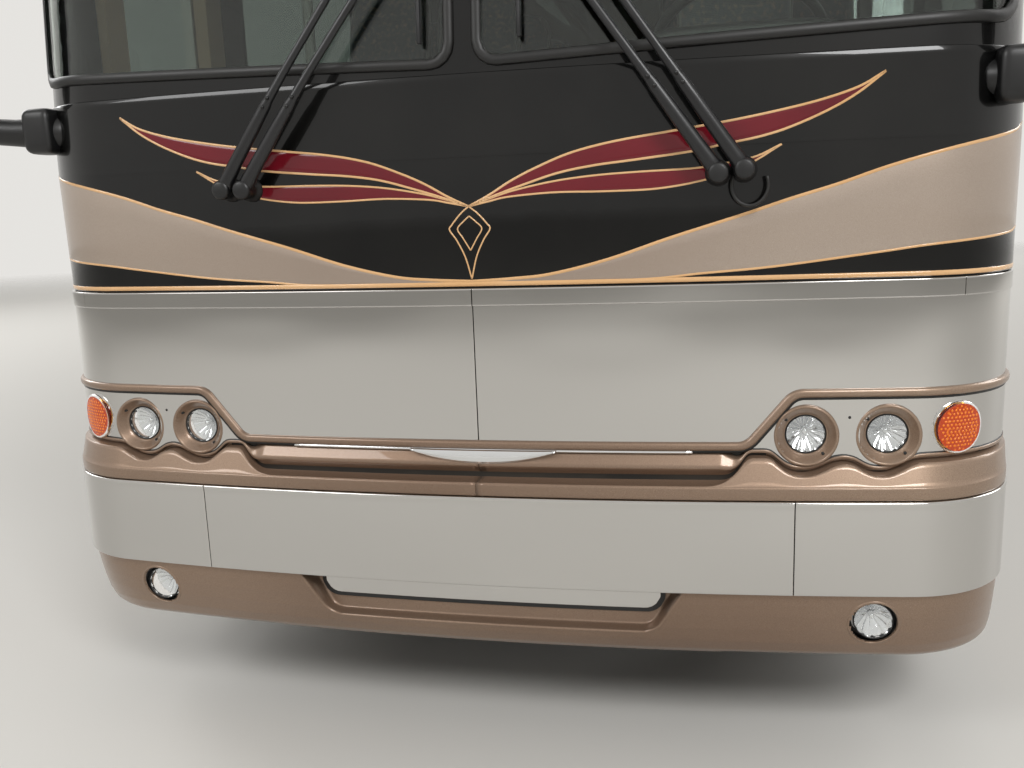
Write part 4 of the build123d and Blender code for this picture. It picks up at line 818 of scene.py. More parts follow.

# %% Screw holes in surrounds and plates, as black caps of painted shade, and black strips of painted shade in the gaps round the plates
SCREW_RING, SCREW_BEARINGS = 0.0590, np.radians([141, -48])
PLATE_SCREW = (0.889, 0.903)
# Each screw hole is a small black cap standing on the surface: painted shade in place of the dark inside a
# hole.
for way in WAYS:
    for x, z in LAMPS:
        for across, up in SCREW_RING * np.stack([np.cos(SCREW_BEARINGS), np.sin(SCREW_BEARINGS)], -1):
            holes.append(turned((way * x + across, skin_y(x) + 0.0010, z + up), SCREW, around=16))
    x, z = PLATE_SCREW
    holes.append(turned((way * x, skin_y(x) + 0.0008, z), SCREW, around=16))
settle(from_grids("screw_hole_shade_caps", holes, [gasket_rubber], closed=True))
# Black rubber strips along the moulding's lower edge and the plates' lower edge stand in for the shade in
# those gaps: painted shade.
gap_rise = np.array([-0.005, 0.0020, 0.0020, -0.005])
foot_run = stations(PLATE_IN, FULL_RUN, gap=0.008)
shade_strip_grids = [ribbon(PATH_S, PATH_Z, [-0.0165, -0.0160, -0.0080, -0.0075], gap_rise)]
for way in WAYS:
    run = (way * foot_run)[::way]
    shade_strip_grids.append(ribbon(run, foot_z(run) + LEDGE_RISE, [-0.006, -0.0055, 0.0045, 0.005], gap_rise))
settle(sheet("painted_shadow_strips", shade_strip_grids, [gasket_rubber]))

# %% [markdown]
# The fog lamps are smaller wells in the valance, so they stand where it stands: the same lens,
# bowl and bulb are moved forward by the valance's own reach at their height. Then the glass of
# all six lamps becomes one piece, and the bowls another.

# %% Fog lamps, and the glass and bowls of all six lamps
FOG = (0.959, 0.395)
VALANCE_Z = [.270, .285, .300, .330, .370, .410, .440, .476]
VALANCE_OUT = [-.060, -.038, -.020, -.002, .0125, .0235, .030, .036]
fog_seals = []


def valance_out(z):
    """How far the valance stands forward of the nose at height z: it tucks under as it falls."""
    return np.interp(z, VALANCE_Z, VALANCE_OUT)


fog_y = skin_y(FOG[0]) - float(valance_out(FOG[1])) + 0.016
for way in WAYS:
    lamp((way * FOG[0], fog_y, FOG[1]), fog_seals, 12, 0.005, shift=0.0135)
settle(from_grids("lamp_lenses", lenses, [clear_lens], closed=True), ["front_lamps"])
settle(from_grids("lamp_reflectors", bowls, [chrome], closed=True))

# %% [markdown]
# The lower valance is a moulded bronze cover that tucks under as it falls. A tray is pressed into
# its middle for a number plate, here left blank, and a collar rings each fog lamp. The tray comes
# from a signed distance to a rounded trapezium: inside it the cover steps back over 16 mm.

# %% Plate tray
VALANCE_HEAD, VALANCE_FOOT = 0.4772, 0.286
FOG_HOLE, TRAY_CORNER, TRAY_STEP, TRAY_FLOOR = 0.0565, 0.030, 0.016, 0.020


def tray_distance(x, z):
    """Signed distance to the plate tray, whose sides lean in and whose corners are round."""
    side = (np.abs(x) - 0.507) * 0.865 - (z - 0.478) * 0.501 + TRAY_CORNER
    foot = 0.352 - z + TRAY_CORNER
    corner = np.hypot(np.maximum(side, 0), np.maximum(foot, 0))
    return np.minimum(np.maximum(side, foot), 0) + corner - TRAY_CORNER


def valance_face(s, z):
    """Forward reach of the valance, with the tray drawn back to its floor."""
    inside = smooth(-tray_distance(s, z) / TRAY_STEP + 0.15)
    edge = np.exp(-(tray_distance(s, z) / 0.006) ** 2) * 0.0015
    return valance_out(z) * (1 - inside) - TRAY_FLOOR * inside + edge


# %% Valance


def valance_grid(s):
    """Rows from the turned-under bottom edge to the top, which lies behind the band's foot."""
    low = VALANCE_FOOT - 0.009 * smooth((0.62 - np.abs(s[:, None])) / 0.05)
    share = np.concatenate([np.linspace(0, 0.30, 12)[:-1], np.linspace(0.30, 1, 46)])
    turned_under = low + [0.002, 0.0, 0.0008]
    z = np.concatenate([turned_under, low + 0.003 + (VALANCE_HEAD - low - 0.003) * share], 1)
    fall = np.concatenate([[0.030, 0.004, 0.0012], np.zeros(len(share))])
    across = np.broadcast_to(s[:, None], z.shape)
    return skin(across, z, -fall, setback=-valance_face(across, z), side=-0.002)


def off_fog(centres):
    """True where a face's middle is outside the fog lamp wells."""
    return np.hypot(np.abs(centres[:, 0]) - FOG[0], centres[:, 2] - FOG[1]) > FOG_HOLE


tray_s = uneven(0.0, (0.40, 0.025), (0.56, 0.004), (0.88, 0.02), (1.05, 0.005), (FULL_RUN, 0.014))
valance_s = np.concatenate([-tray_s[:0:-1], tray_s])
settle(sheet("bumper_valance_cover", [valance_grid(valance_s)], [bronze_paint], keep=off_fog),
       ["bumper_valance"])


# %% Fog lamp collars


def on_skin(centre, profile, around=96, outward=None):
    """A round piece that follows the skin: rings of (radius, rise) about a point of the nose."""
    radius, rise = np.array(profile, dtype=float).T
    radius = np.where(radius < POLE, 0.0, radius)
    turn = full_turn(around)
    s = float(run_at(centre[0])) + radius * np.cos(turn)
    z = centre[1] + radius * np.sin(turn)
    plan = {} if outward is None else {"setback": -outward(z), "side": -0.002}
    return skin(s, z, rise, **plan)


COLLAR = [(.0640, -.0008), (.0630, .0006), (.0600, .0022), (.0580, .0018), (.0568, -.0010),
          (.0562, -.0060)]
WELL = [(.0562, -.0060), (.0555, -.0180), (.0535, -.0300), (.0462, -.0310)]
collars = [on_skin((way * FOG[0], FOG[1]), profile, 72, valance_out)
           for profile in (COLLAR, WELL) for way in WAYS]
settle(from_grids("fog_lamp_collars", collars + fog_seals, [bronze_paint, black_abs, gasket_rubber],
                  [0, 0, 1, 1, 2, 2], closed=True))

# %% [markdown]
# The number plate is a bare bright blank with a rubber edge behind it. Both are panels of the
# nose's plan, like the steel, whose lower edge line is a straight run between two quarter circles.

# %% Blank number plate and its rubber edge


def plate_piece(half, low, radius, out):
    """A flat blank between the band's foot and a lower edge with rounded corners."""
    def edge(s):
        over = np.clip(np.abs(s) - (half - radius), 0, radius)
        return low + radius - np.sqrt(radius ** 2 - over ** 2)
    return panel_grid(-half, half, edge, level(0.4775), level(-out), radius=0.001, depth=0.004, rows=6,
                      gap=0.01)


blanks = [plate_piece(0.450, 0.4085, 0.040, 0.012), plate_piece(0.462, 0.3970, 0.048, 0.015)]
settle(sheet("blank_plates", blanks, [mirror_steel, gasket_rubber], [0, 1]),
       ["polished_plates"])

# %% [markdown]
# Each corner signal is a drum of amber polycarbonate bent to the corner, clear gold round its
# side. The pips inside the lens stand on a triangular lattice 10 mm apart, so they are modelled:
# every pip is the same small dome, copied to all lattice points in one array sum.

# %% Corner signals
SIGNAL = (1.136, 0.873)
DRUM = [(.0635, -.0060), (.0640, .0040), (.0632, .0085), (.0610, .0108), (.0570, .0112)]
FACE_RINGS = [(.0572, .0112), (.0560, .0104), (.0520, .0108), (.0400, .0118), (.0200, .0124),
              (.0006, .0126)]

centres = [(way * SIGNAL[0], SIGNAL[1]) for way in WAYS]
signals = [on_skin(centre, profile) for profile in (DRUM, FACE_RINGS) for centre in centres]
settle(from_grids("corner_signals", signals, [gold_rim, amber_lens], [0, 0, 1, 1], closed=True),
       ["amber_signals"])

# %% Pips inside the signals
PIP_SPACING, PIP_REACH, PIP_RADIUS, PIP_SIDES = 0.0098, 0.051, 0.0031, 8


def pips(centre):
    """All pips of one lens as points (pip, corner, 3): two rings and a top each.

    They stand on a triangular lattice, whose rows are root three over two of the spacing apart
    and staggered.
    """
    i, j = np.meshgrid(np.arange(-9, 10), np.arange(-9, 10), indexing="ij")
    u, v = (i + 0.5 * (j % 2)) * PIP_SPACING, j * PIP_SPACING * math.sqrt(3) / 2
    near = np.hypot(u, v) < PIP_REACH
    u, v = u[near, None], v[near, None]
    turn = np.tile(full_turn(PIP_SIDES)[:, 0], 2)
    size = PIP_RADIUS * np.repeat([1.0, 0.6], PIP_SIDES)
    u = u + np.append(size * np.cos(turn), 0)
    v = v + np.append(size * np.sin(turn), 0)
    lift = np.append(np.repeat([-0.0004, 0.0009], PIP_SIDES), 0.0013)
    radii, rises = np.array(FACE_RINGS[::-1]).T
    rise = np.interp(np.hypot(u, v), radii, rises) + lift
    return skin(float(run_at(centre[0])) + u, centre[1] + v, rise)


domes = np.concatenate([pips(centre) for centre in centres])
a, top = np.arange(PIP_SIDES), 2 * PIP_SIDES
b = (a + 1) % PIP_SIDES
one_pip = [*np.stack([a, b, b + PIP_SIDES, a + PIP_SIDES], -1).tolist(),
           *np.stack([a + PIP_SIDES, b + PIP_SIDES, np.full(PIP_SIDES, top)], -1).tolist()]
pip_faces = [[corner + first for corner in face] for first in range(0, domes[..., 0].size, top + 1)
             for face in one_pip]
# The pips wear the paler, faintly glowing amber: painted highlight.
settle(put("signal_pips", domes.reshape(-1, 3), pip_faces, [painted_pip_glint]))

# %% [markdown]
# The black upper panel lies 8 mm behind the steel at its foot, comes out to a soft crease at
# z 1.54 and leans back to the glass. It is folded back a little at the foot and the head.

# %% Painted upper panel
CREASE_Z = [1.2250, 1.5300, 1.5360, 1.5400, 1.5440, 1.5500, 1.7280]
CREASE_BACK = [.0080, .0031, .0029, .00262, .0029, .0032, .0090]
FILM_RISE, LINE_RISE, RULE_RISE = 0.0004, 0.0008, 0.0010
BEND_END = FRONT_RUN + CORNER_RUN


def panel_back(z):
    """How far the painted panel lies behind the steel at height z."""
    return np.interp(z, CREASE_Z, CREASE_BACK)


def film(s, z, rise):
    """Points on the panel: rise is the height over it."""
    return skin(s, z, rise, setback=panel_back(z), side=0.003)


rows = np.sort(np.concatenate([np.linspace(1.2275, 1.7265, 34), CREASE_Z[1:-1]]))
panel_z = np.concatenate([[1.2262, 1.2262], rows, [1.7278, 1.7278]])
fold = np.concatenate([[0.006, 0.001], np.zeros(len(rows)), [0.001, 0.006]])
upper_s = stations(-FULL_RUN, -BEND_END, -FRONT_RUN, FRONT_RUN, BEND_END, FULL_RUN, gap=0.03)
settle(sheet("painted_upper_panel", [film(upper_s[:, None], panel_z, -fold)], [black_paint]),
       ["front_upper_panel"])

# %% [markdown]
# The swooshes were sprayed through masks, so each is a flat film with a crisp edge. Both edges
# of a form are drawn as smooth curves through measured points (Catmull-Rom: the curve leaves
# each point along the line between its neighbours) and the film is filled between them. A thin
# gold line runs along each edge.

# %% Curves and films


def smooth_line(points, count=120):
    """Even points on a Catmull-Rom curve through (distance, height) pairs."""
    p = np.vstack([2 * points[0] - points[1], points, 2 * points[-1] - points[-2]])
    t = np.linspace(0, len(points) - 1 - 1e-9, 6 * count)
    i, f = t.astype(int), (t % 1)[:, None]
    a, b, c, d = p[i], p[i + 1], p[i + 2], p[i + 3]
    square, cube = 2 * a - 5 * b + 4 * c - d, 3 * b - a - 3 * c + d
    return evenly(b + f * (c - a) / 2 + f ** 2 * square / 2 + f ** 3 * cube / 2, count)


def evenly(curve, count):
    """Points spaced evenly along a curve of many points."""
    run = np.concatenate([[0], np.cumsum(np.hypot(*np.diff(curve, axis=0).T))])
    even = np.linspace(0, run[-1], count)
    return np.stack([np.interp(even, run, curve[:, k]) for k in (0, 1)], -1)


def filled(top, bottom):
    """A film between two edge curves, its rim turned down into the panel."""
    share = np.array([0, 0.02, 0.25, 0.5, 0.75, 0.98, 1.0])[None, :, None]
    grid = top[:, None] * (1 - share) + bottom[:, None] * share
    return film(grid[..., 0], grid[..., 1], FILM_RISE * np.array([-1, 1, 1, 1, 1, 1, -1]))


def lined(path, width, rise=LINE_RISE):
    """A thin line of even width along a curve."""
    s, z = sideways(*path.T, width * np.array([-0.5, -0.42, 0.42, 0.5]))
    return film(s, z, rise * np.array([-1, 1, 1, -1]))


def both_sides(maker, *paths, **settings):
    """The same form on the right and, mirrored, on the left."""
    return [maker(*[path * (way, 1) for path in paths], **settings) for way in (1, -1)]


# %% Edges of the forms
# Each edge: width of its gold line, then points in millimetres from the middle and the ground.
EDGES = {
    "upper_top": (.006, [(1, 1421), (50, 1445), (108, 1478), (170, 1506), (250, 1535), (350, 1556),
                         (490, 1574), (600, 1588), (700, 1604), (800, 1624), (884, 1649), (941, 1680)]),
    "upper_low": (.006, [(1, 1421), (65, 1444), (130, 1465), (217, 1490), (303, 1504), (400, 1513),
                         (525, 1526), (600, 1539), (676, 1552), (741, 1570), (820, 1602), (884, 1637),
                         (941, 1680)]),
    "lower_top": (.005, [(1, 1421), (50, 1437), (116, 1455), (210, 1472), (303, 1481), (400, 1485),
                         (532, 1488), (600, 1496), (665, 1508), (722, 1533)]),
    "lower_low": (.005, [(1, 1421), (50, 1431), (100, 1440), (208, 1446), (330, 1444), (452, 1446),
                         (562, 1463), (650, 1492), (722, 1533)]),
    "head": (.008, [(0, 1241), (101, 1246), (195, 1255), (330, 1286), (478, 1333), (640, 1380), (740, 1411),
                    (847, 1441), (960, 1477), (1100, 1512)]),
    "foot": (.006, [(0, 1238), (210, 1237), (420, 1238), (545, 1248), (666, 1256), (770, 1266), (940, 1286),
                    (1068, 1301)]),
    "gem": (.004, [(0, 1421), (22, 1403), (44, 1378), (50, 1366), (33, 1340), (14, 1300), (0, 1247)]),
    "gem_inner": (.0035, [(0, 1398), (14, 1386), (30, 1368), (17, 1345), (0, 1316)])}
BEHIND = {"head": [1.548, 1.567, 1.584], "foot": [1.317, 1.326, 1.332]}

# %% Painted forms
curves, gold = {}, []
for name, (width, table) in EDGES.items():
    x, z = np.array(table).T / 1000
    line = np.stack([run_at(x), z], -1)
    if name in BEHIND:
        line = np.concatenate([line, np.stack([[1.30, FULL_RUN - 0.2, FULL_RUN], BEHIND[name]], -1)])
    curves[name] = smooth_line(line)
    gold += both_sides(lined, curves[name], width=width)
maroon = both_sides(filled, curves["upper_top"], curves["upper_low"])
maroon += both_sides(filled, curves["lower_top"], curves["lower_low"])
tan_forms = both_sides(filled, curves["head"], curves["foot"])
rule_s = stations(-FULL_RUN, -FRONT_RUN, FRONT_RUN, FULL_RUN, gap=0.02)
gold.append(lined(np.stack([rule_s, np.full_like(rule_s, 1.2345)], -1), width=0.012, rise=RULE_RISE))
settle(sheet("painted_stripes", maroon + tan_forms + gold, [maroon_paint, tan_paint, gold_paint],
             [0] * len(maroon) + [1] * len(tan_forms) + [2] * len(gold)))

# %% [markdown]
# The tan band runs on along both sides over the skirt, tapering to a point after 9 m. On the
# curb side it starts again behind the entrance door, so the door can swing without it.

# %% Stripes along the sides


def flank_band(way, y0):
    """Band and its two gold lines on one flank, as three grids."""
    y = np.linspace(y0, 2.8, 90)
    far = np.clip((y + 6.36) / 9.16, 0, 1)
    head = 1.584 + 0.20 * far - 0.33 * far ** 3
    foot = 1.332 + 0.03 * far + 0.07 * far ** 2

    def strip(upper, lower, rise):
        share = np.array([0, 0.03, 0.5, 0.97, 1.0])
        z = upper[:, None] * (1 - share) + lower[:, None] * share
        x = way * (HALF + rise * np.array([-1, 1, 1, 1, -1]))
        return np.stack(np.broadcast_arrays(x, y[:, None], z), -1)[::-way]

    return [strip(head, foot, FILM_RISE), strip(head + 0.004, head - 0.004, LINE_RISE),
            strip(foot + 0.003, foot - 0.003, LINE_RISE)]


settle(from_grids("side_stripes", flank_band(1, -6.35) + flank_band(-1, -5.59), [tan_paint, gold_paint],
                  [0, 1, 1, 0, 1, 1]))

# %% [markdown]
# The windshield is two bent panes in a black rubber gasket. The pane's surface is ruled between
# the plan at the panel's top and the raked plan at the brow, so a point of it is a blend of two
# plan points at the same share of the width. The gasket is a half-round bead round each pane.

# %% The raked screen
SCREEN_FOOT, SCREEN_HEAD = 1.728, 2.960
RAKE_BACK, BROW_CORNER = 0.120, 0.260


def screen(x, z, back):
    """Point on the raked screen at front-view x and height z, back behind its skin."""
    x, z, back = np.broadcast_arrays(x, z, back)
    share = (z - SCREEN_FOOT) / (SCREEN_HEAD - SCREEN_FOOT)

    def depth(setback, corner):
        reach, hub_x, t = ARC - setback, HALF - corner, np.abs(x)
        arc = ARC - np.sqrt(reach ** 2 - t ** 2)
        hub_y = ARC - math.sqrt((reach - corner) ** 2 - hub_x ** 2)
        bend = hub_y - np.sqrt(np.clip(corner ** 2 - np.clip(t - hub_x, 0, corner * 0.999) ** 2, 0, None))
        return np.where(t < hub_x * reach / (reach - corner), arc, bend)

    y = depth(0.0, CORNER) * (1 - share) + depth(RAKE_BACK, BROW_CORNER) * share
    return np.stack([x, FACE + y + back, z], -1)


# %% Windshield beads


def pane_loop(corners, radius, steps, around):
    """Even points round a polygon of (x, z) corners, each corner turned on a circle."""
    points = []
    for k, here in enumerate(corners):
        u, v = (other - here for other in (corners[k - 1], corners[(k + 1) % len(corners)]))
        u, v = u / np.linalg.norm(u), v / np.linalg.norm(v)
        half = math.acos(float(np.dot(u, v))) / 2
        middle = here + (u + v) / np.linalg.norm(u + v) * radius / math.sin(half)
        a0, a1 = (math.atan2(*(here + edge * radius / math.tan(half) - middle)[::-1]) for edge in (u, v))
        angles = a0 + np.linspace(0, (a1 - a0 + math.pi) % (2 * math.pi) - math.pi, steps)
        points.append(middle + radius * np.stack([np.cos(angles), np.sin(angles)], -1))
    return evenly(np.concatenate(points + [points[0][:1]]), around + 1)[:-1]


def screen_rings(margins, backs, way):
    """Closed loops at several margins and depths: a moulding round one pane."""
    rings = []
    for margin, back in zip(margins, backs):
        inner, outer, top = 0.021 + margin, HALF - 0.0525 - margin, SCREEN_HEAD - 0.070 - margin
        corners = np.array([[inner, 1.738 + margin], [outer, 1.778 + margin], [outer, top], [inner, top]])
        loop = pane_loop(corners, 0.060 - margin, 12, 200)
        rings.append(screen(way * loop[:, 0], loop[:, 1], back))
    return np.stack(rings, 1)[::way]


bead = np.linspace(0, math.pi, 13)
margins = np.concatenate([[0.0], 0.026 * (0.5 - 0.5 * np.cos(bead)), [0.026, 0.0262]])
backs = np.concatenate([[0.016], 0.006 - 0.009 * np.sin(bead), [0.009, 0.014]])
settle(from_grids("windshield_beads", [screen_rings(margins, backs, way) for way in (1, -1)],
                  [gasket_rubber], closed=True), ["windshield_gasket"])

# %% [markdown]
# Bars, hoses and handles are tubes: circles carried along a path, each square to the path's
# direction, with a last ring of no width at each end to close it. Boxes with round corners are
# superellipsoids of a high power, which have no flat shading breaks and no sharp edges.

# %% Tubes and soft boxes


def tube(path, radii, around=16, wide=1.0):
    """Closed bar along a path; wide stretches its section sideways."""
    path = np.array(path, dtype=float)
    radii = np.broadcast_to(np.array(radii, dtype=float), len(path))
    lead = np.gradient(path, axis=0)
    lead /= np.linalg.norm(lead, axis=1)[:, None]
    guide = np.where(np.abs(lead[:, 1:2]) > 0.9, [[0.0, 0.0, 1.0]], [[0.0, 1.0, 0.0]])
    side = np.cross(lead, guide)
    side /= np.linalg.norm(side, axis=1)[:, None]
    rise = np.cross(side, lead)
    ends = [0, 0, *range(len(path)), len(path) - 1, len(path) - 1]
    size = np.concatenate([[1e-5, radii[0] * 0.8], radii, [radii[-1] * 0.8, 1e-5]])
    slip = np.concatenate([[-0.3, -0.25], np.zeros(len(path)), [0.25, 0.3]]) * size.max()
    turn = full_turn(around)[:, None]
    middle = path[ends] + lead[ends] * slip[:, None]
    return middle + size[:, None] * (wide * np.cos(turn) * side[ends] + np.sin(turn) * rise[ends])


def soft_box(centre, size, power=5.0, rings=17, around=40):
    """Box with round edges: every ring and section is a superellipse."""
    def rounded_wave(wave):
        return np.sign(wave) * np.abs(wave) ** (2.0 / power)

    tilt = np.linspace(-math.pi / 2, math.pi / 2, rings)
    turn = full_turn(around)
    reach = rounded_wave(np.cos(tilt))
    reach[[0, -1]] = 0.0
    x, y = reach * rounded_wave(np.cos(turn)), reach * rounded_wave(np.sin(turn))
    z = np.broadcast_to(rounded_wave(np.sin(tilt)), x.shape)
    return np.array(centre) + np.stack([x, y, z], -1) * np.array(size) / 2


# %% [markdown]
# Each wiper is a pantograph: a driven arm and a guide arm run side by side from two splined
# pivots to a link that carries an upright blade. The arms taper, bend at a riveted knee and stand
# 42 mm off the glass; a washer hose loops out under one pivot.

# %% Wiper sizes
ARMS = [[((0.585, 1.475), (0.102, 2.150)), ((0.642, 1.481), (0.175, 2.150))],
        [((-0.625, 1.483), (-0.140, 2.150)), ((-0.567, 1.481), (-0.060, 2.150))]]
CAP = [(.0006, .0640), (.0150, .0636), (.0205, .0615), (.0232, .0570), (.0240, .0500), (.0240, .0360),
       (.0215, .0330), (.0215, .0100), (.0290, .0060), (.0300, -.0040)]
KNOB = [(.0005, .0150), (.0040, .0145), (.0048, .0120), (.0048, .0)]
ALONG = np.array([0, 0.04, 0.1, 0.2, 0.29, 0.31, 0.4, 0.6, 0.8, 0.97, 1.0])
ARM_OUT = np.interp(ALONG, [0, 0.1, 0.3, 1], [0.044, 0.050, 0.052, 0.042])
ARM_WIDTH = np.interp(ALONG, [0, 0.1, 0.28, 0.32, 1], [0.016, 0.0135, 0.0125, 0.0085, 0.0065])


def off_glass(x, z, out):
    """Point ahead of the painted panel or the screen."""
    x, z, out = np.broadcast_arrays(x, z, out)
    ahead = screen(x, np.maximum(z, SCREEN_FOOT), -out)
    return np.stack([ahead[..., 0], ahead[..., 1], z], -1)


# %% Wipers
bars, caps, rubbers = [], [], []
for pair in ARMS:
    for (x0, z0), (x1, z1) in pair:
        path = off_glass(x0 + (x1 - x0) * ALONG, z0 + (z1 - z0) * ALONG, ARM_OUT)
        bars.append(tube(path, ARM_WIDTH, wide=1.25))
        caps.append(turned(off_glass(x0, z0, 0.0), CAP, around=40))
        for place in (0.285, 0.315):
            knob = off_glass(x0 + (x1 - x0) * place, z0 + (z1 - z0) * place, 0.052)
            caps.append(turned(knob, KNOB, around=16))
    (x0, z0), (x1, z1) = pair[0][1], pair[1][1]
    middle = (x0 + x1) / 2
    bars.append(tube(off_glass(np.linspace(x0, x1, 7), z0, 0.042), 0.008))
    bars.append(tube(off_glass(middle, z0, np.linspace(0.044, 0.012, 5)), 0.007))
    blade_z = np.linspace(1.800, 2.500, 15)
    bars.append(tube(off_glass(middle, blade_z, 0.012 + 0.008 * np.sin(np.linspace(0, math.pi, 15))),
                     np.interp(blade_z, [1.8, 2.15, 2.5], [0.005, 0.009, 0.005])))
    rubbers.append(tube(off_glass(middle, blade_z, 0.0), 0.0045))
loop_turn = np.linspace(-0.4, 3.6, 22)
hose = np.broadcast_arrays(0.655 + 0.040 * np.cos(loop_turn), skin_y(0.65) - 0.022,
                           1.445 - 0.045 * np.sin(loop_turn))
rubbers.append(tube(np.stack(hose, -1), 0.0042, around=10))
settle(solid("wiper_set", bars + caps + rubbers, [satin_steel, black_abs, gasket_rubber],
             [0] * len(bars) + [1] * len(caps) + [2] * len(rubbers)), ["wipers"])

# %% [markdown]
# A coach mirror is a moulded shell on a swept tube that comes out of a base plate by the screen.
# The tube is a path of points with a radius for each. Shell, base and bezel are soft boxes, and
# the glass is a thinner one set into the bezel, on the side that faces the driver.

# %% Mirrors
arms, shells, panes = [], [], []
for way in WAYS:
    elbow = np.array([way * (HALF + 0.230), FACE + 0.090, 1.700])
    base = np.array([way * (HALF - 0.120), FACE + 0.150, 1.660])
    lift = np.linspace(0, 1, 9)[:, None]
    sweep = base * (1 - lift) + elbow * lift + np.array([0, -0.010, -0.012]) * np.sin(lift * math.pi)
    stem = elbow + np.array([0, 0, 0.200]) * np.linspace(0.12, 1, 5)[:, None]
    path = np.concatenate([sweep[:-1], elbow[None] + [way * -0.012, 0, 0.012], stem])
    taper = np.interp(np.arange(len(path)), [0, 3, len(path)], [0.044, 0.036, 0.030])
    arms.append(tube(path, taper, around=24))
    head = elbow + [way * 0.020, 0, 0.310]
    shells.append(soft_box(head, (0.260, 0.118, 0.456), power=4.5, around=64, rings=31))
    shells.append(soft_box(base + [way * 0.050, -0.012, 0.004], (0.090, 0.110, 0.122)))
    shells.append(soft_box(head + [0, 0.054, 0], (0.226, 0.014, 0.414), power=7))
    panes.append(soft_box(head + [0, 0.0575, 0], (0.206, 0.012, 0.392), power=8))
settle(solid("mirror_shells", arms + shells, [black_abs]), ["mirrors"])
settle(solid("mirror_panes", panes, [chrome]), ["mirror_glass"])

# %% [markdown]
# Under the moulding run a thin chrome strip and a plain badge plate whose shape is a shallow
# bowl cut off level at the top. The plate is one grid of the nose: its height shrinks to nothing
# at both ends, it swells forward in the middle, and nine fine ribs are a cosine of its rows.

# %% Chrome strip and plain ribbed badge plate
badge_s = np.linspace(-0.184, 0.204, 49)[:, None]
bulge = np.clip(1 - (np.abs(badge_s - 0.010) / 0.194) ** 2.2, 0, None)
rows = np.linspace(0, 1, 25)
dome = 0.008 + 0.010 * np.sin(np.pi * np.clip(rows, 0.02, 0.98)) ** 0.5
dome = dome + 0.0006 * np.cos(rows * 2 * math.pi * 9)
inside = (rows > 0.01) & (rows < 0.99) & (bulge > 0.02)
badge = skin(badge_s, 0.8215 - 0.0375 * bulge * rows, np.where(inside, dome, -0.020))
settle(sheet("badge_plate", [badge], [chrome]))
strip = tube(skin(stations(-0.503, 0.527), 0.8195, 0.0010), 0.0042, around=12)
settle(solid("chrome_strip", [strip], [chrome]))

# %% [markdown]
# Every seat has a foam cushion and a foam back in a cloth cover. One of each is enough: its form
# is remeshed into even cells, blown up by Blender's cloth with pressure inside, sewn channels are
# pressed into it, and the result is copied to all places. Arms, shells and legs are rigid.

# %% Pad forms
CELL, PRESSURE, CLOTH_FRAMES = 0.026, 4.0, 20


def points_of(mesh):
    """Vertices of a mesh as an (n, 3) array."""
    flat = np.empty(len(mesh.vertices) * 3, dtype=np.float32)
    mesh.vertices.foreach_get("co", flat)
    return flat.reshape(-1, 3).astype(float)


def puffed(size, cap):
    """Points and faces of a pad swollen by cloth pressure, no point moved further than cap."""
    piece = solid("pad_form", [soft_box((0, 0, 0), size, power=4)], [seat_cloth])
    remesh = piece.modifiers.new("even", "REMESH")
    remesh.mode, remesh.voxel_size = "VOXEL", CELL
    mesh = bpy.data.meshes.new_from_object(piece.evaluated_get(bpy.context.evaluated_depsgraph_get()))
    piece.modifiers.clear()
    piece.data = mesh
    end = start = points_of(mesh)
    cloth = piece.modifiers.new("pressure", "CLOTH")
    cloth.settings.use_pressure = True
    cloth.settings.uniform_pressure_force = PRESSURE
    cloth.settings.effector_weights.gravity = 0
    cloth.point_cache.frame_end = CLOTH_FRAMES
    for frame_number in range(1, CLOTH_FRAMES + 1):
        scene.frame_set(frame_number)
    end = points_of(piece.evaluated_get(bpy.context.evaluated_depsgraph_get()).data)
    scene.frame_set(1)
    move = end - start
    far = np.maximum(np.linalg.norm(move, axis=1)[:, None], 1e-9)
    faces = [list(face.vertices) for face in mesh.polygons]
    bpy.data.objects.remove(piece)
    return start + move * np.minimum(1, cap / far), faces


# %% Sewn channels


def channelled(points, axis, places, depth, face_axis, side=1):
    """Press sewn channels 13 mm wide into the face of a pad that looks along face_axis."""
    out = points.copy()
    height = side * points[:, face_axis]
    near = np.clip((height - height.max() + 0.06) / 0.05, 0, 1)
    for place in places:
        out[:, face_axis] -= side * depth * near * np.exp(-((points[:, axis] - place) / 0.013) ** 2)
    return out


# %% Pads at every seat
DECK, DASH_Y = 1.330, FACE + 0.059
DRIVER = (0.640, DASH_Y + 0.760)
SEAT_AT = [DRIVER] + [(way * x, -5.044 + 0.860 * row) for row in range(12)
                      for way in WAYS for x in (0.525, 0.967)]
lean = math.atan2(0.130, 0.740)
TILT_BACK = np.array([[1, 0, 0], [0, math.cos(lean), -math.sin(lean)], [0, math.sin(lean), math.cos(lean)]])
cushion, cushion_faces = puffed((0.412, 0.480, 0.098), 0.012)
cushion = channelled(cushion, 1, (-0.08, 0.06), 0.010, 2)
cushion = channelled(cushion, 0, (-0.130, 0.130), 0.009, 2)
back, back_faces = puffed((0.412, 0.088, 0.700), 0.011)
back = channelled(back, 2, (-0.14, 0.0, 0.14, 0.215), 0.010, 1, side=-1) @ TILT_BACK
PADS = [("seat_cushions", cushion, cushion_faces, (0, 0.250, DECK + 0.385)),
        ("seat_backs", back, back_faces, (0, 0.543, DECK + 0.790))]
for name, points, faces, offset in PADS:
    verts = np.concatenate([points + offset + [x, y, 0] for x, y in SEAT_AT])
    copies = (np.array(faces) + (np.arange(len(SEAT_AT)) * len(points))[:, None, None]).reshape(-1, 4)
    pads = settle(put(name, verts, copies.tolist(), [seat_cloth]), ["seats"])

# %% [markdown]
# Under the cloth a seat is rigid: a moulded shell behind the back, a pan under the cushion, two
# bent arm tubes, two legs and a floor plate. These parts are made once and moved to every place.

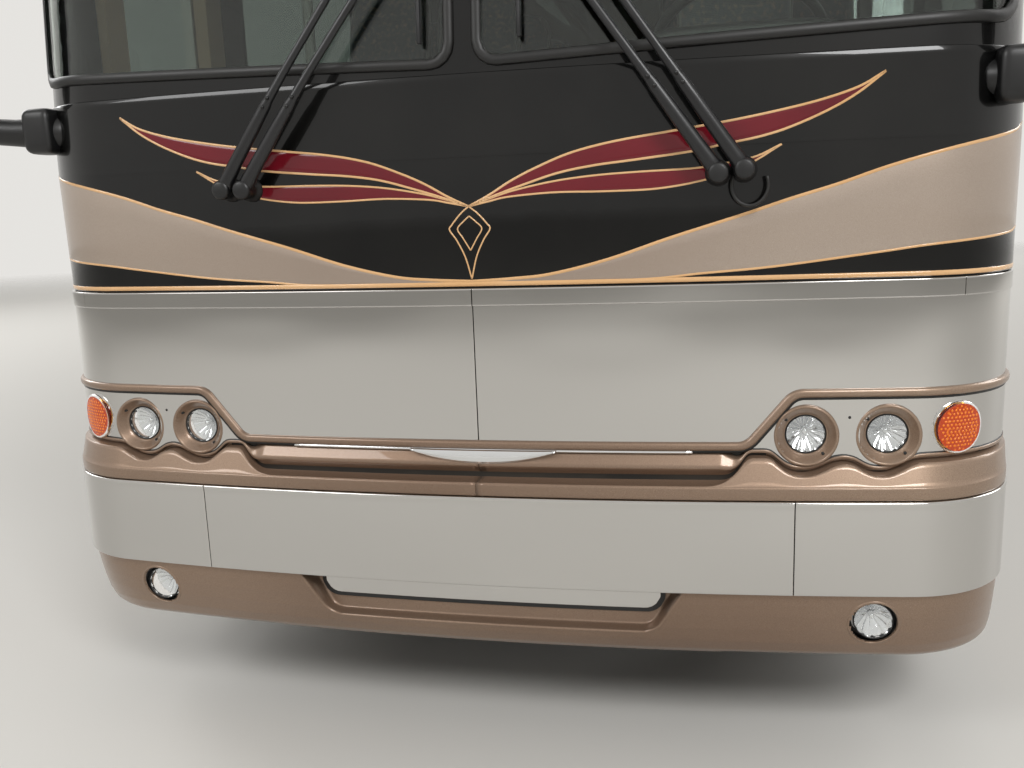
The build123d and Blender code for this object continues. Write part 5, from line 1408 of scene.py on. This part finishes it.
# %% Seat frames
shell = soft_box((0, 0, 0), (0.405, 0.030, 0.690), power=6, rings=9, around=20) @ TILT_BACK
pan = soft_box((0, 0.26, 0.338), (0.400, 0.440, 0.016), power=8, rings=5, around=16)
foot = soft_box((0, 0.26, 0.009), (0.090, 0.300, 0.016), power=8, rings=5, around=12)
ARM = ((.500, .560), (.440, .590), (.300, .595), (.150, .590))
seat_parts = [shell + [0, 0.590, 0.785], pan]
seat_parts += [tube([[way * 0.212, y, z] for y, z in ARM], 0.013, around=8) for way in WAYS]
seat_parts += [tube([[0, y, 0.330], [0, y, 0.02]], 0.018, around=8) for y in (0.15, 0.37)] + [foot]
frames = [part + [x, y, DECK] for x, y in SEAT_AT for part in seat_parts]
settle(solid("seat_frames", frames, [grey_abs]), ["seats"])

# %% [markdown]
# A coach tyre is a round sidewall with a rim guard and a tread of five ribs. The section below is
# given for one half as radius and distance from the middle, and mirrored. Grooves run round it
# and narrow cuts cross the shoulders, seventy-two to a turn.

# %% Wheel sections
RADIUS = 0.538
WHEEL_X = HALF - 0.022 - 0.156
TWIN_GAP, SHOULDER_CUT = 0.350, 0.007
AXLES = {"front": -4.928, "drive": 3.102, "tag": 4.321}
DISC_OUT = {"front": 0.071, "drive": -0.134, "tag": 0.071}
HALF_TYRE = [(.2868, .1160), (.2990, .1290), (.3150, .1372), (.3230, .1372), (.3300, .1425), (.3700, .1515),
             (.4150, .1552), (.4420, .1556), (.4440, .1564), (.4500, .1564), (.4520, .1554), (.4800, .1515),
             (.5020, .1450), (.5150, .1385), (.5235, .1325), (.5290, .1240), (.5335, .1130), (.5345, .0980),
             (.5350, .0760), (.5230, .0735), (.5225, .0650), (.5358, .0625), (.5370, .0300), (.5240, .0275),
             (.5238, .0190), (.5374, .0165), (.5378, .0)]
tyre_profile = np.concatenate([HALF_TYRE, (np.array(HALF_TYRE) * [1, -1])[-2::-1]])
LIP = [(.2855, .1120), (.2900, .1150), (.2925, .1200), (.2900, .1245), (.2850, .1250), (.2790, .1205),
       (.2740, .1120), (.2715, .0900), (.2710, .0750)]
HUB_CAP = [(.0955, .096), (.0975, .112), (.0940, .1195), (.0840, .1225), (.0800, .1310), (.0640, .1370),
           (.0400, .1400), (.0, .1410)]
NUT = [(.0205, -.004), (.0205, .006), (.0165, .010), (.0160, .034), (.0135, .040), (.0, .043)]
STUD_RING, STUDS = 0.1425, 10


def about_x(middle, way, profile, around=64, cut_depth=0.0):
    """A profile of (radius, outward) swept round an axle, cut at the shoulder each fourth step."""
    radius, along = np.array(profile, dtype=float).T
    turn = full_turn(around)
    shoulder = (np.abs(along) > 0.075) & (np.abs(along) < 0.134) & (radius > 0.52)
    radius = radius - (np.arange(around) % 4 == 0)[:, None] * shoulder * cut_depth
    y, z = middle[1] + radius * np.cos(turn), middle[2] + radius * np.sin(turn)
    return np.stack([np.broadcast_to(middle[0] + way * along, y.shape), y, z], -1)


def nuts(middle, way, face):
    """Capped wheel nuts on the stud circle."""
    angles = full_turn(STUDS)[:, 0] + math.pi / STUDS
    places = [middle + [way * face, STUD_RING * math.cos(a), STUD_RING * math.sin(a)] for a in angles]
    return [about_x(place, way, NUT, around=6) for place in places]


# %% Wheels
for axle, y in AXLES.items():
    for way, side in SIDES:
        outer = np.array([way * WHEEL_X, y, RADIUS])
        centres = [outer, outer - [way * TWIN_GAP, 0, 0]] if axle == "drive" else [outer]
        tyres = [about_x(centre, way, tyre_profile, 288, SHOULDER_CUT) for centre in centres]
        settle(solid(f"road_tyre_{axle}_{side}", tyres, [tyre_rubber]), [f"tyre_{axle}_{side}"],
               body=f"wheel_{axle}_{side}")
        parts = [about_x(outer, way, LIP, around=96), about_x(outer, way, HUB_CAP)]
        parts += nuts(outer, way, DISC_OUT[axle])
        settle(solid(f"wheel_trim_{axle}_{side}", parts, [polished_alloy, chrome], [0] * 2 + [1] * STUDS),
               body=f"wheel_{axle}_{side}")

# %% [markdown]
# Each side window sits in black rubber. The rubber is a small bead carried round a rounded
# rectangle: the bead's steps are given as distance out from the pane's edge and how proud of the
# wall they stand, so the same profile serves the sides, the door and the rear window.

# %% Window rubbers
RUBBER = [(-.006, -.004), (-.006, .0020), (.0, .0045), (.006, .0045), (.0120, .0015), (.0125, -.002)]
DOOR_Y, DOOR_END = -6.344, -5.602
WINDOW_START, WINDOW_LOW, WINDOW_HIGH = DOOR_END + 0.180, 1.850, 2.760
WINDOWS, WINDOW_GAP, TAIL = 8, 0.110, 6.818
WINDOW_STEP = (5.874 - WINDOW_START) / WINDOWS


def pane_rubber(a0, a1, z0, z1, radius=0.090, steps=8):
    """A bead round a window as level place, height and how proud, from the steps of RUBBER."""
    starts = np.arange(4) * math.pi / 2
    turn = np.concatenate([np.linspace(k, k + math.pi / 2, steps) for k in starts])[:, None]
    quarter = np.repeat(np.arange(4), steps)
    mid_a = np.array([a1 - radius, a0 + radius, a0 + radius, a1 - radius])[quarter, None]
    mid_z = np.array([z1 - radius, z1 - radius, z0 + radius, z0 + radius])[quarter, None]
    out, proud = np.array(RUBBER).T
    reach = radius + out
    return np.broadcast_arrays(mid_a + reach * np.cos(turn), mid_z + reach * np.sin(turn), proud)


def side_rubber(way, *pane):
    """The bead of a side window."""
    y, z, proud = pane_rubber(*pane)
    return np.stack([way * (HALF + proud), y, z], -1)


rubbers = [side_rubber(1, DOOR_Y + 0.080, DOOR_END, WINDOW_LOW - 0.060, WINDOW_HIGH)]
rubbers += [side_rubber(way, y, y + WINDOW_STEP - WINDOW_GAP, WINDOW_LOW, WINDOW_HIGH)
            for way in WAYS for y in WINDOW_START + np.arange(WINDOWS) * WINDOW_STEP]
x, z, proud = pane_rubber(-0.760, 0.760, 1.900, WINDOW_HIGH - 0.200)
rubbers.append(np.stack([x, TAIL + proud, z], -1))
settle(solid("window_rubbers", rubbers, [gasket_rubber]))

# %% [markdown]
# The entrance door has two panes and a bent pull handle, and each luggage door two flush paddle
# latches: a bright paddle in a dark dish. They ride on their doors, so they are pieces of their
# own, and the two latches of a door are placed at fixed shares of its length.

# %% Entrance door trim and luggage latches
door_parts = [side_rubber(-1, DOOR_Y + 0.122, DOOR_END - 0.110, z0, z1)
              for z0, z1 in ((WINDOW_LOW - 0.060, WINDOW_HIGH), (0.900, WINDOW_LOW - 0.160))]
handle_z = np.array([1.380, 1.392, 1.420, 1.452, 1.480, 1.492])
handle_out = np.array([-0.002, 0.014, 0.022, 0.022, 0.014, -0.002])
pull = tube(np.stack([-(HALF + handle_out), np.full(6, DOOR_END - 0.050), handle_z], -1), 0.008)
settle(solid("entrance_door_trim", door_parts + [pull], [gasket_rubber, chrome], [0, 0, 1]),
       body="entrance_door")
BAY_START = AXLES["front"] + 0.700
BAY_STEP = (AXLES["drive"] - 0.670 - BAY_START) / 3
LATCH = [(0.000, 0.520, (0.006, 0.150, 0.096)), (0.003, 0.528, (0.008, 0.118, 0.052))]
for way, side in SIDES:
    for bay in range(3):
        parts = [soft_box((way * (HALF + out), y, z), size, power=7, around=32, rings=13)
                 for y in BAY_START + BAY_STEP * (bay + np.array([0.22, 0.78])) for out, z, size in LATCH]
        settle(solid(f"luggage_latches_{side}_{bay + 1}", parts, [black_abs, chrome], [0, 1, 0, 1]),
               body=f"luggage_door_{side}_{bay + 1}")

# %% [markdown]
# The rear carries three round lamps a side, each a domed red lens in a bright bezel, and a
# louvred engine door. The lamps are the turned shapes of the front, mirrored in y so that they
# face back, and the slats are soft boxes at an even step.

# %% Tail lamps
LAMP_LENS = [(.0500, -.004), (.0500, .0140), (.0480, .0185), (.0380, .0215), (.0200, .0232),
             (.0004, .0238)]
BEZEL = [(.0500, -.002), (.0505, .0080), (.0530, .0105), (.0570, .0095), (.0590, .0040), (.0592, -.002)]
tail_parts = [turned((x, -TAIL, z), profile, around=48) * (1, -1, 1) for profile in (LAMP_LENS, BEZEL)
              for x in (-1.060, 1.060) for z in (0.900, 1.040, 1.180)]
settle(solid("tail_lamp_lenses", tail_parts, [red_lens, chrome], [0] * 6 + [1] * 6), ["tail_lamps"])

# %% Engine door louvres and latch
SLATS, SLAT_STEP = 12, 0.042
slat_size = (1.300, 0.014, 0.016)
slats = [soft_box((0, TAIL + 0.002, z), slat_size, power=6, around=24, rings=9)
         for z in 0.860 + SLAT_STEP * np.arange(SLATS)]
slats.append(soft_box((0, TAIL + 0.001, 0.770), (0.140, 0.010, 0.040), power=7, around=32, rings=13))
settle(solid("engine_door_louvres", slats, [bronze_paint, black_abs], [0] * SLATS + [1]),
       body="engine_door")

# %% [markdown]
# An air spring is a rubber bellows of two lobes between two plates. It is turned about an
# upright axis, and one bag is copied to the eight places beside the axles.

# %% Air springs
SPRING_X = WHEEL_X - 0.6175
LOBES = [(.0, .6382), (.088, .6384), (.090, .652), (.1005, .676), (.1045, .712), (.1005, .748),
         (.084, .775), (.082, .780), (.084, .785), (.1005, .812), (.1045, .848), (.1005, .884),
         (.090, .906), (.088, .9196), (.0, .9198)]
radius, height = np.array(LOBES).T
turn = full_turn(48)
one_bag = np.stack(np.broadcast_arrays(radius * np.cos(turn), radius * np.sin(turn), height), -1)
bellows = [one_bag + [way * SPRING_X, y, 0] for way in WAYS
           for y in (AXLES["front"], AXLES["drive"] - 0.330, AXLES["drive"] + 0.330, AXLES["tag"] + 0.330)]
settle(solid("air_spring_bellows", bellows, [air_bag]), stands_for=["air_springs"])

# %% [markdown]
# Behind the windshield are the driver's steering wheel and an instrument hood on the dashboard.
# The wheel's plane leans back 35 degrees, so its rim is a circle in a turned pair of axes.

# %% Steering wheel and instrument hood
HUB = np.array([DRIVER[0], DASH_Y + 0.560, 1.835])
tilt = math.radians(-35)
WHEEL_AXES = np.array([[1, 0, 0], [0, math.cos(tilt), math.sin(tilt)],
                       [0, -math.sin(tilt), math.cos(tilt)]])


def on_wheel(across, along, out=0.0):
    """Points in the steering wheel's own plane."""
    return HUB + np.stack(np.broadcast_arrays(across, along, out), -1) @ WHEEL_AXES


turn = full_turn(72)
grip = np.linspace(0, 2 * math.pi, 17)
rim_radius = 0.228 + 0.0145 * np.cos(grip)
pad_radius = np.array([.0, .030, .048, .058, .060, .056])
pad_out = np.array([.026, .025, .021, .012, .0, -.014])
reach = np.linspace(0.035, 0.222, 6)
wheel_parts = [on_wheel(rim_radius * np.cos(turn), rim_radius * np.sin(turn), 0.0145 * np.sin(grip)),
               on_wheel(pad_radius * np.cos(turn), pad_radius * np.sin(turn), pad_out),
               tube(on_wheel(0.0, 0.0, np.linspace(-0.235, -0.010, 4)), 0.029, around=24)]
for bearing in np.radians([-8, 188, 90]):
    spoke = on_wheel(reach * np.cos(bearing), reach * np.sin(bearing), -0.012 * np.sin(reach * 12))
    wheel_parts.append(tube(spoke, 0.011, wide=1.8))
settle(solid("driver_wheel", wheel_parts, [black_abs]), ["steering_wheel"])
hood = [soft_box((DRIVER[0], DASH_Y + 0.300, 1.790), (0.520, 0.200, 0.110), power=4, around=64, rings=25),
        soft_box((0.05, DASH_Y + 0.220, 1.768), (0.440, 0.240, 0.060), around=48, rings=17)]
settle(solid("instrument_hood", hood, [black_abs]))

# %% [markdown]
# A vehicle this wide carries marker lamps along its top edge, amber in front and red behind, and
# the roof has two escape hatches. A ray shot at the cap finds where each lamp sits on its curve.

# %% Marker lamps and roof hatches
FAR = 20.0
MARKERS = [("front", -1, 3.400, amber_lens, "amber"), ("rear", 1, 3.380, red_lens, "red")]
for end, way, z, lens_finish, slot in MARKERS:
    hits = [nodes[end + "_cap"].ray_cast((x, way * FAR, z), (0, -way, 0))
            for x in (-1.02, -0.17, 0.0, 0.17, 1.02)]
    spots = [np.array(hit[1]) for hit in hits if hit[0]]
    parts = [soft_box(spot, (0.124, 0.016, 0.040)) for spot in spots]
    parts += [soft_box(spot, (0.108, 0.034, 0.028), power=3.5) for spot in spots]
    split = [0] * len(spots) + [1] * len(spots)
    settle(solid("marker_lamps_" + end, parts, [black_abs, lens_finish], split))
    print("marker lamps", end, len(spots), [round(float(v), 3) for v in spots[0]])

hatches = []
for y in (-3.30, 3.10):
    place = np.array(nodes["roof"].ray_cast((0.0, y, FAR), (0, 0, -1))[1])
    hatches.append(soft_box(place, (0.700, 0.700, 0.036), power=9))
    hatches.append(soft_box(place + [0, 0, 0.012], (0.620, 0.620, 0.042), power=7))
settle(solid("roof_hatches", hatches, [black_abs]))
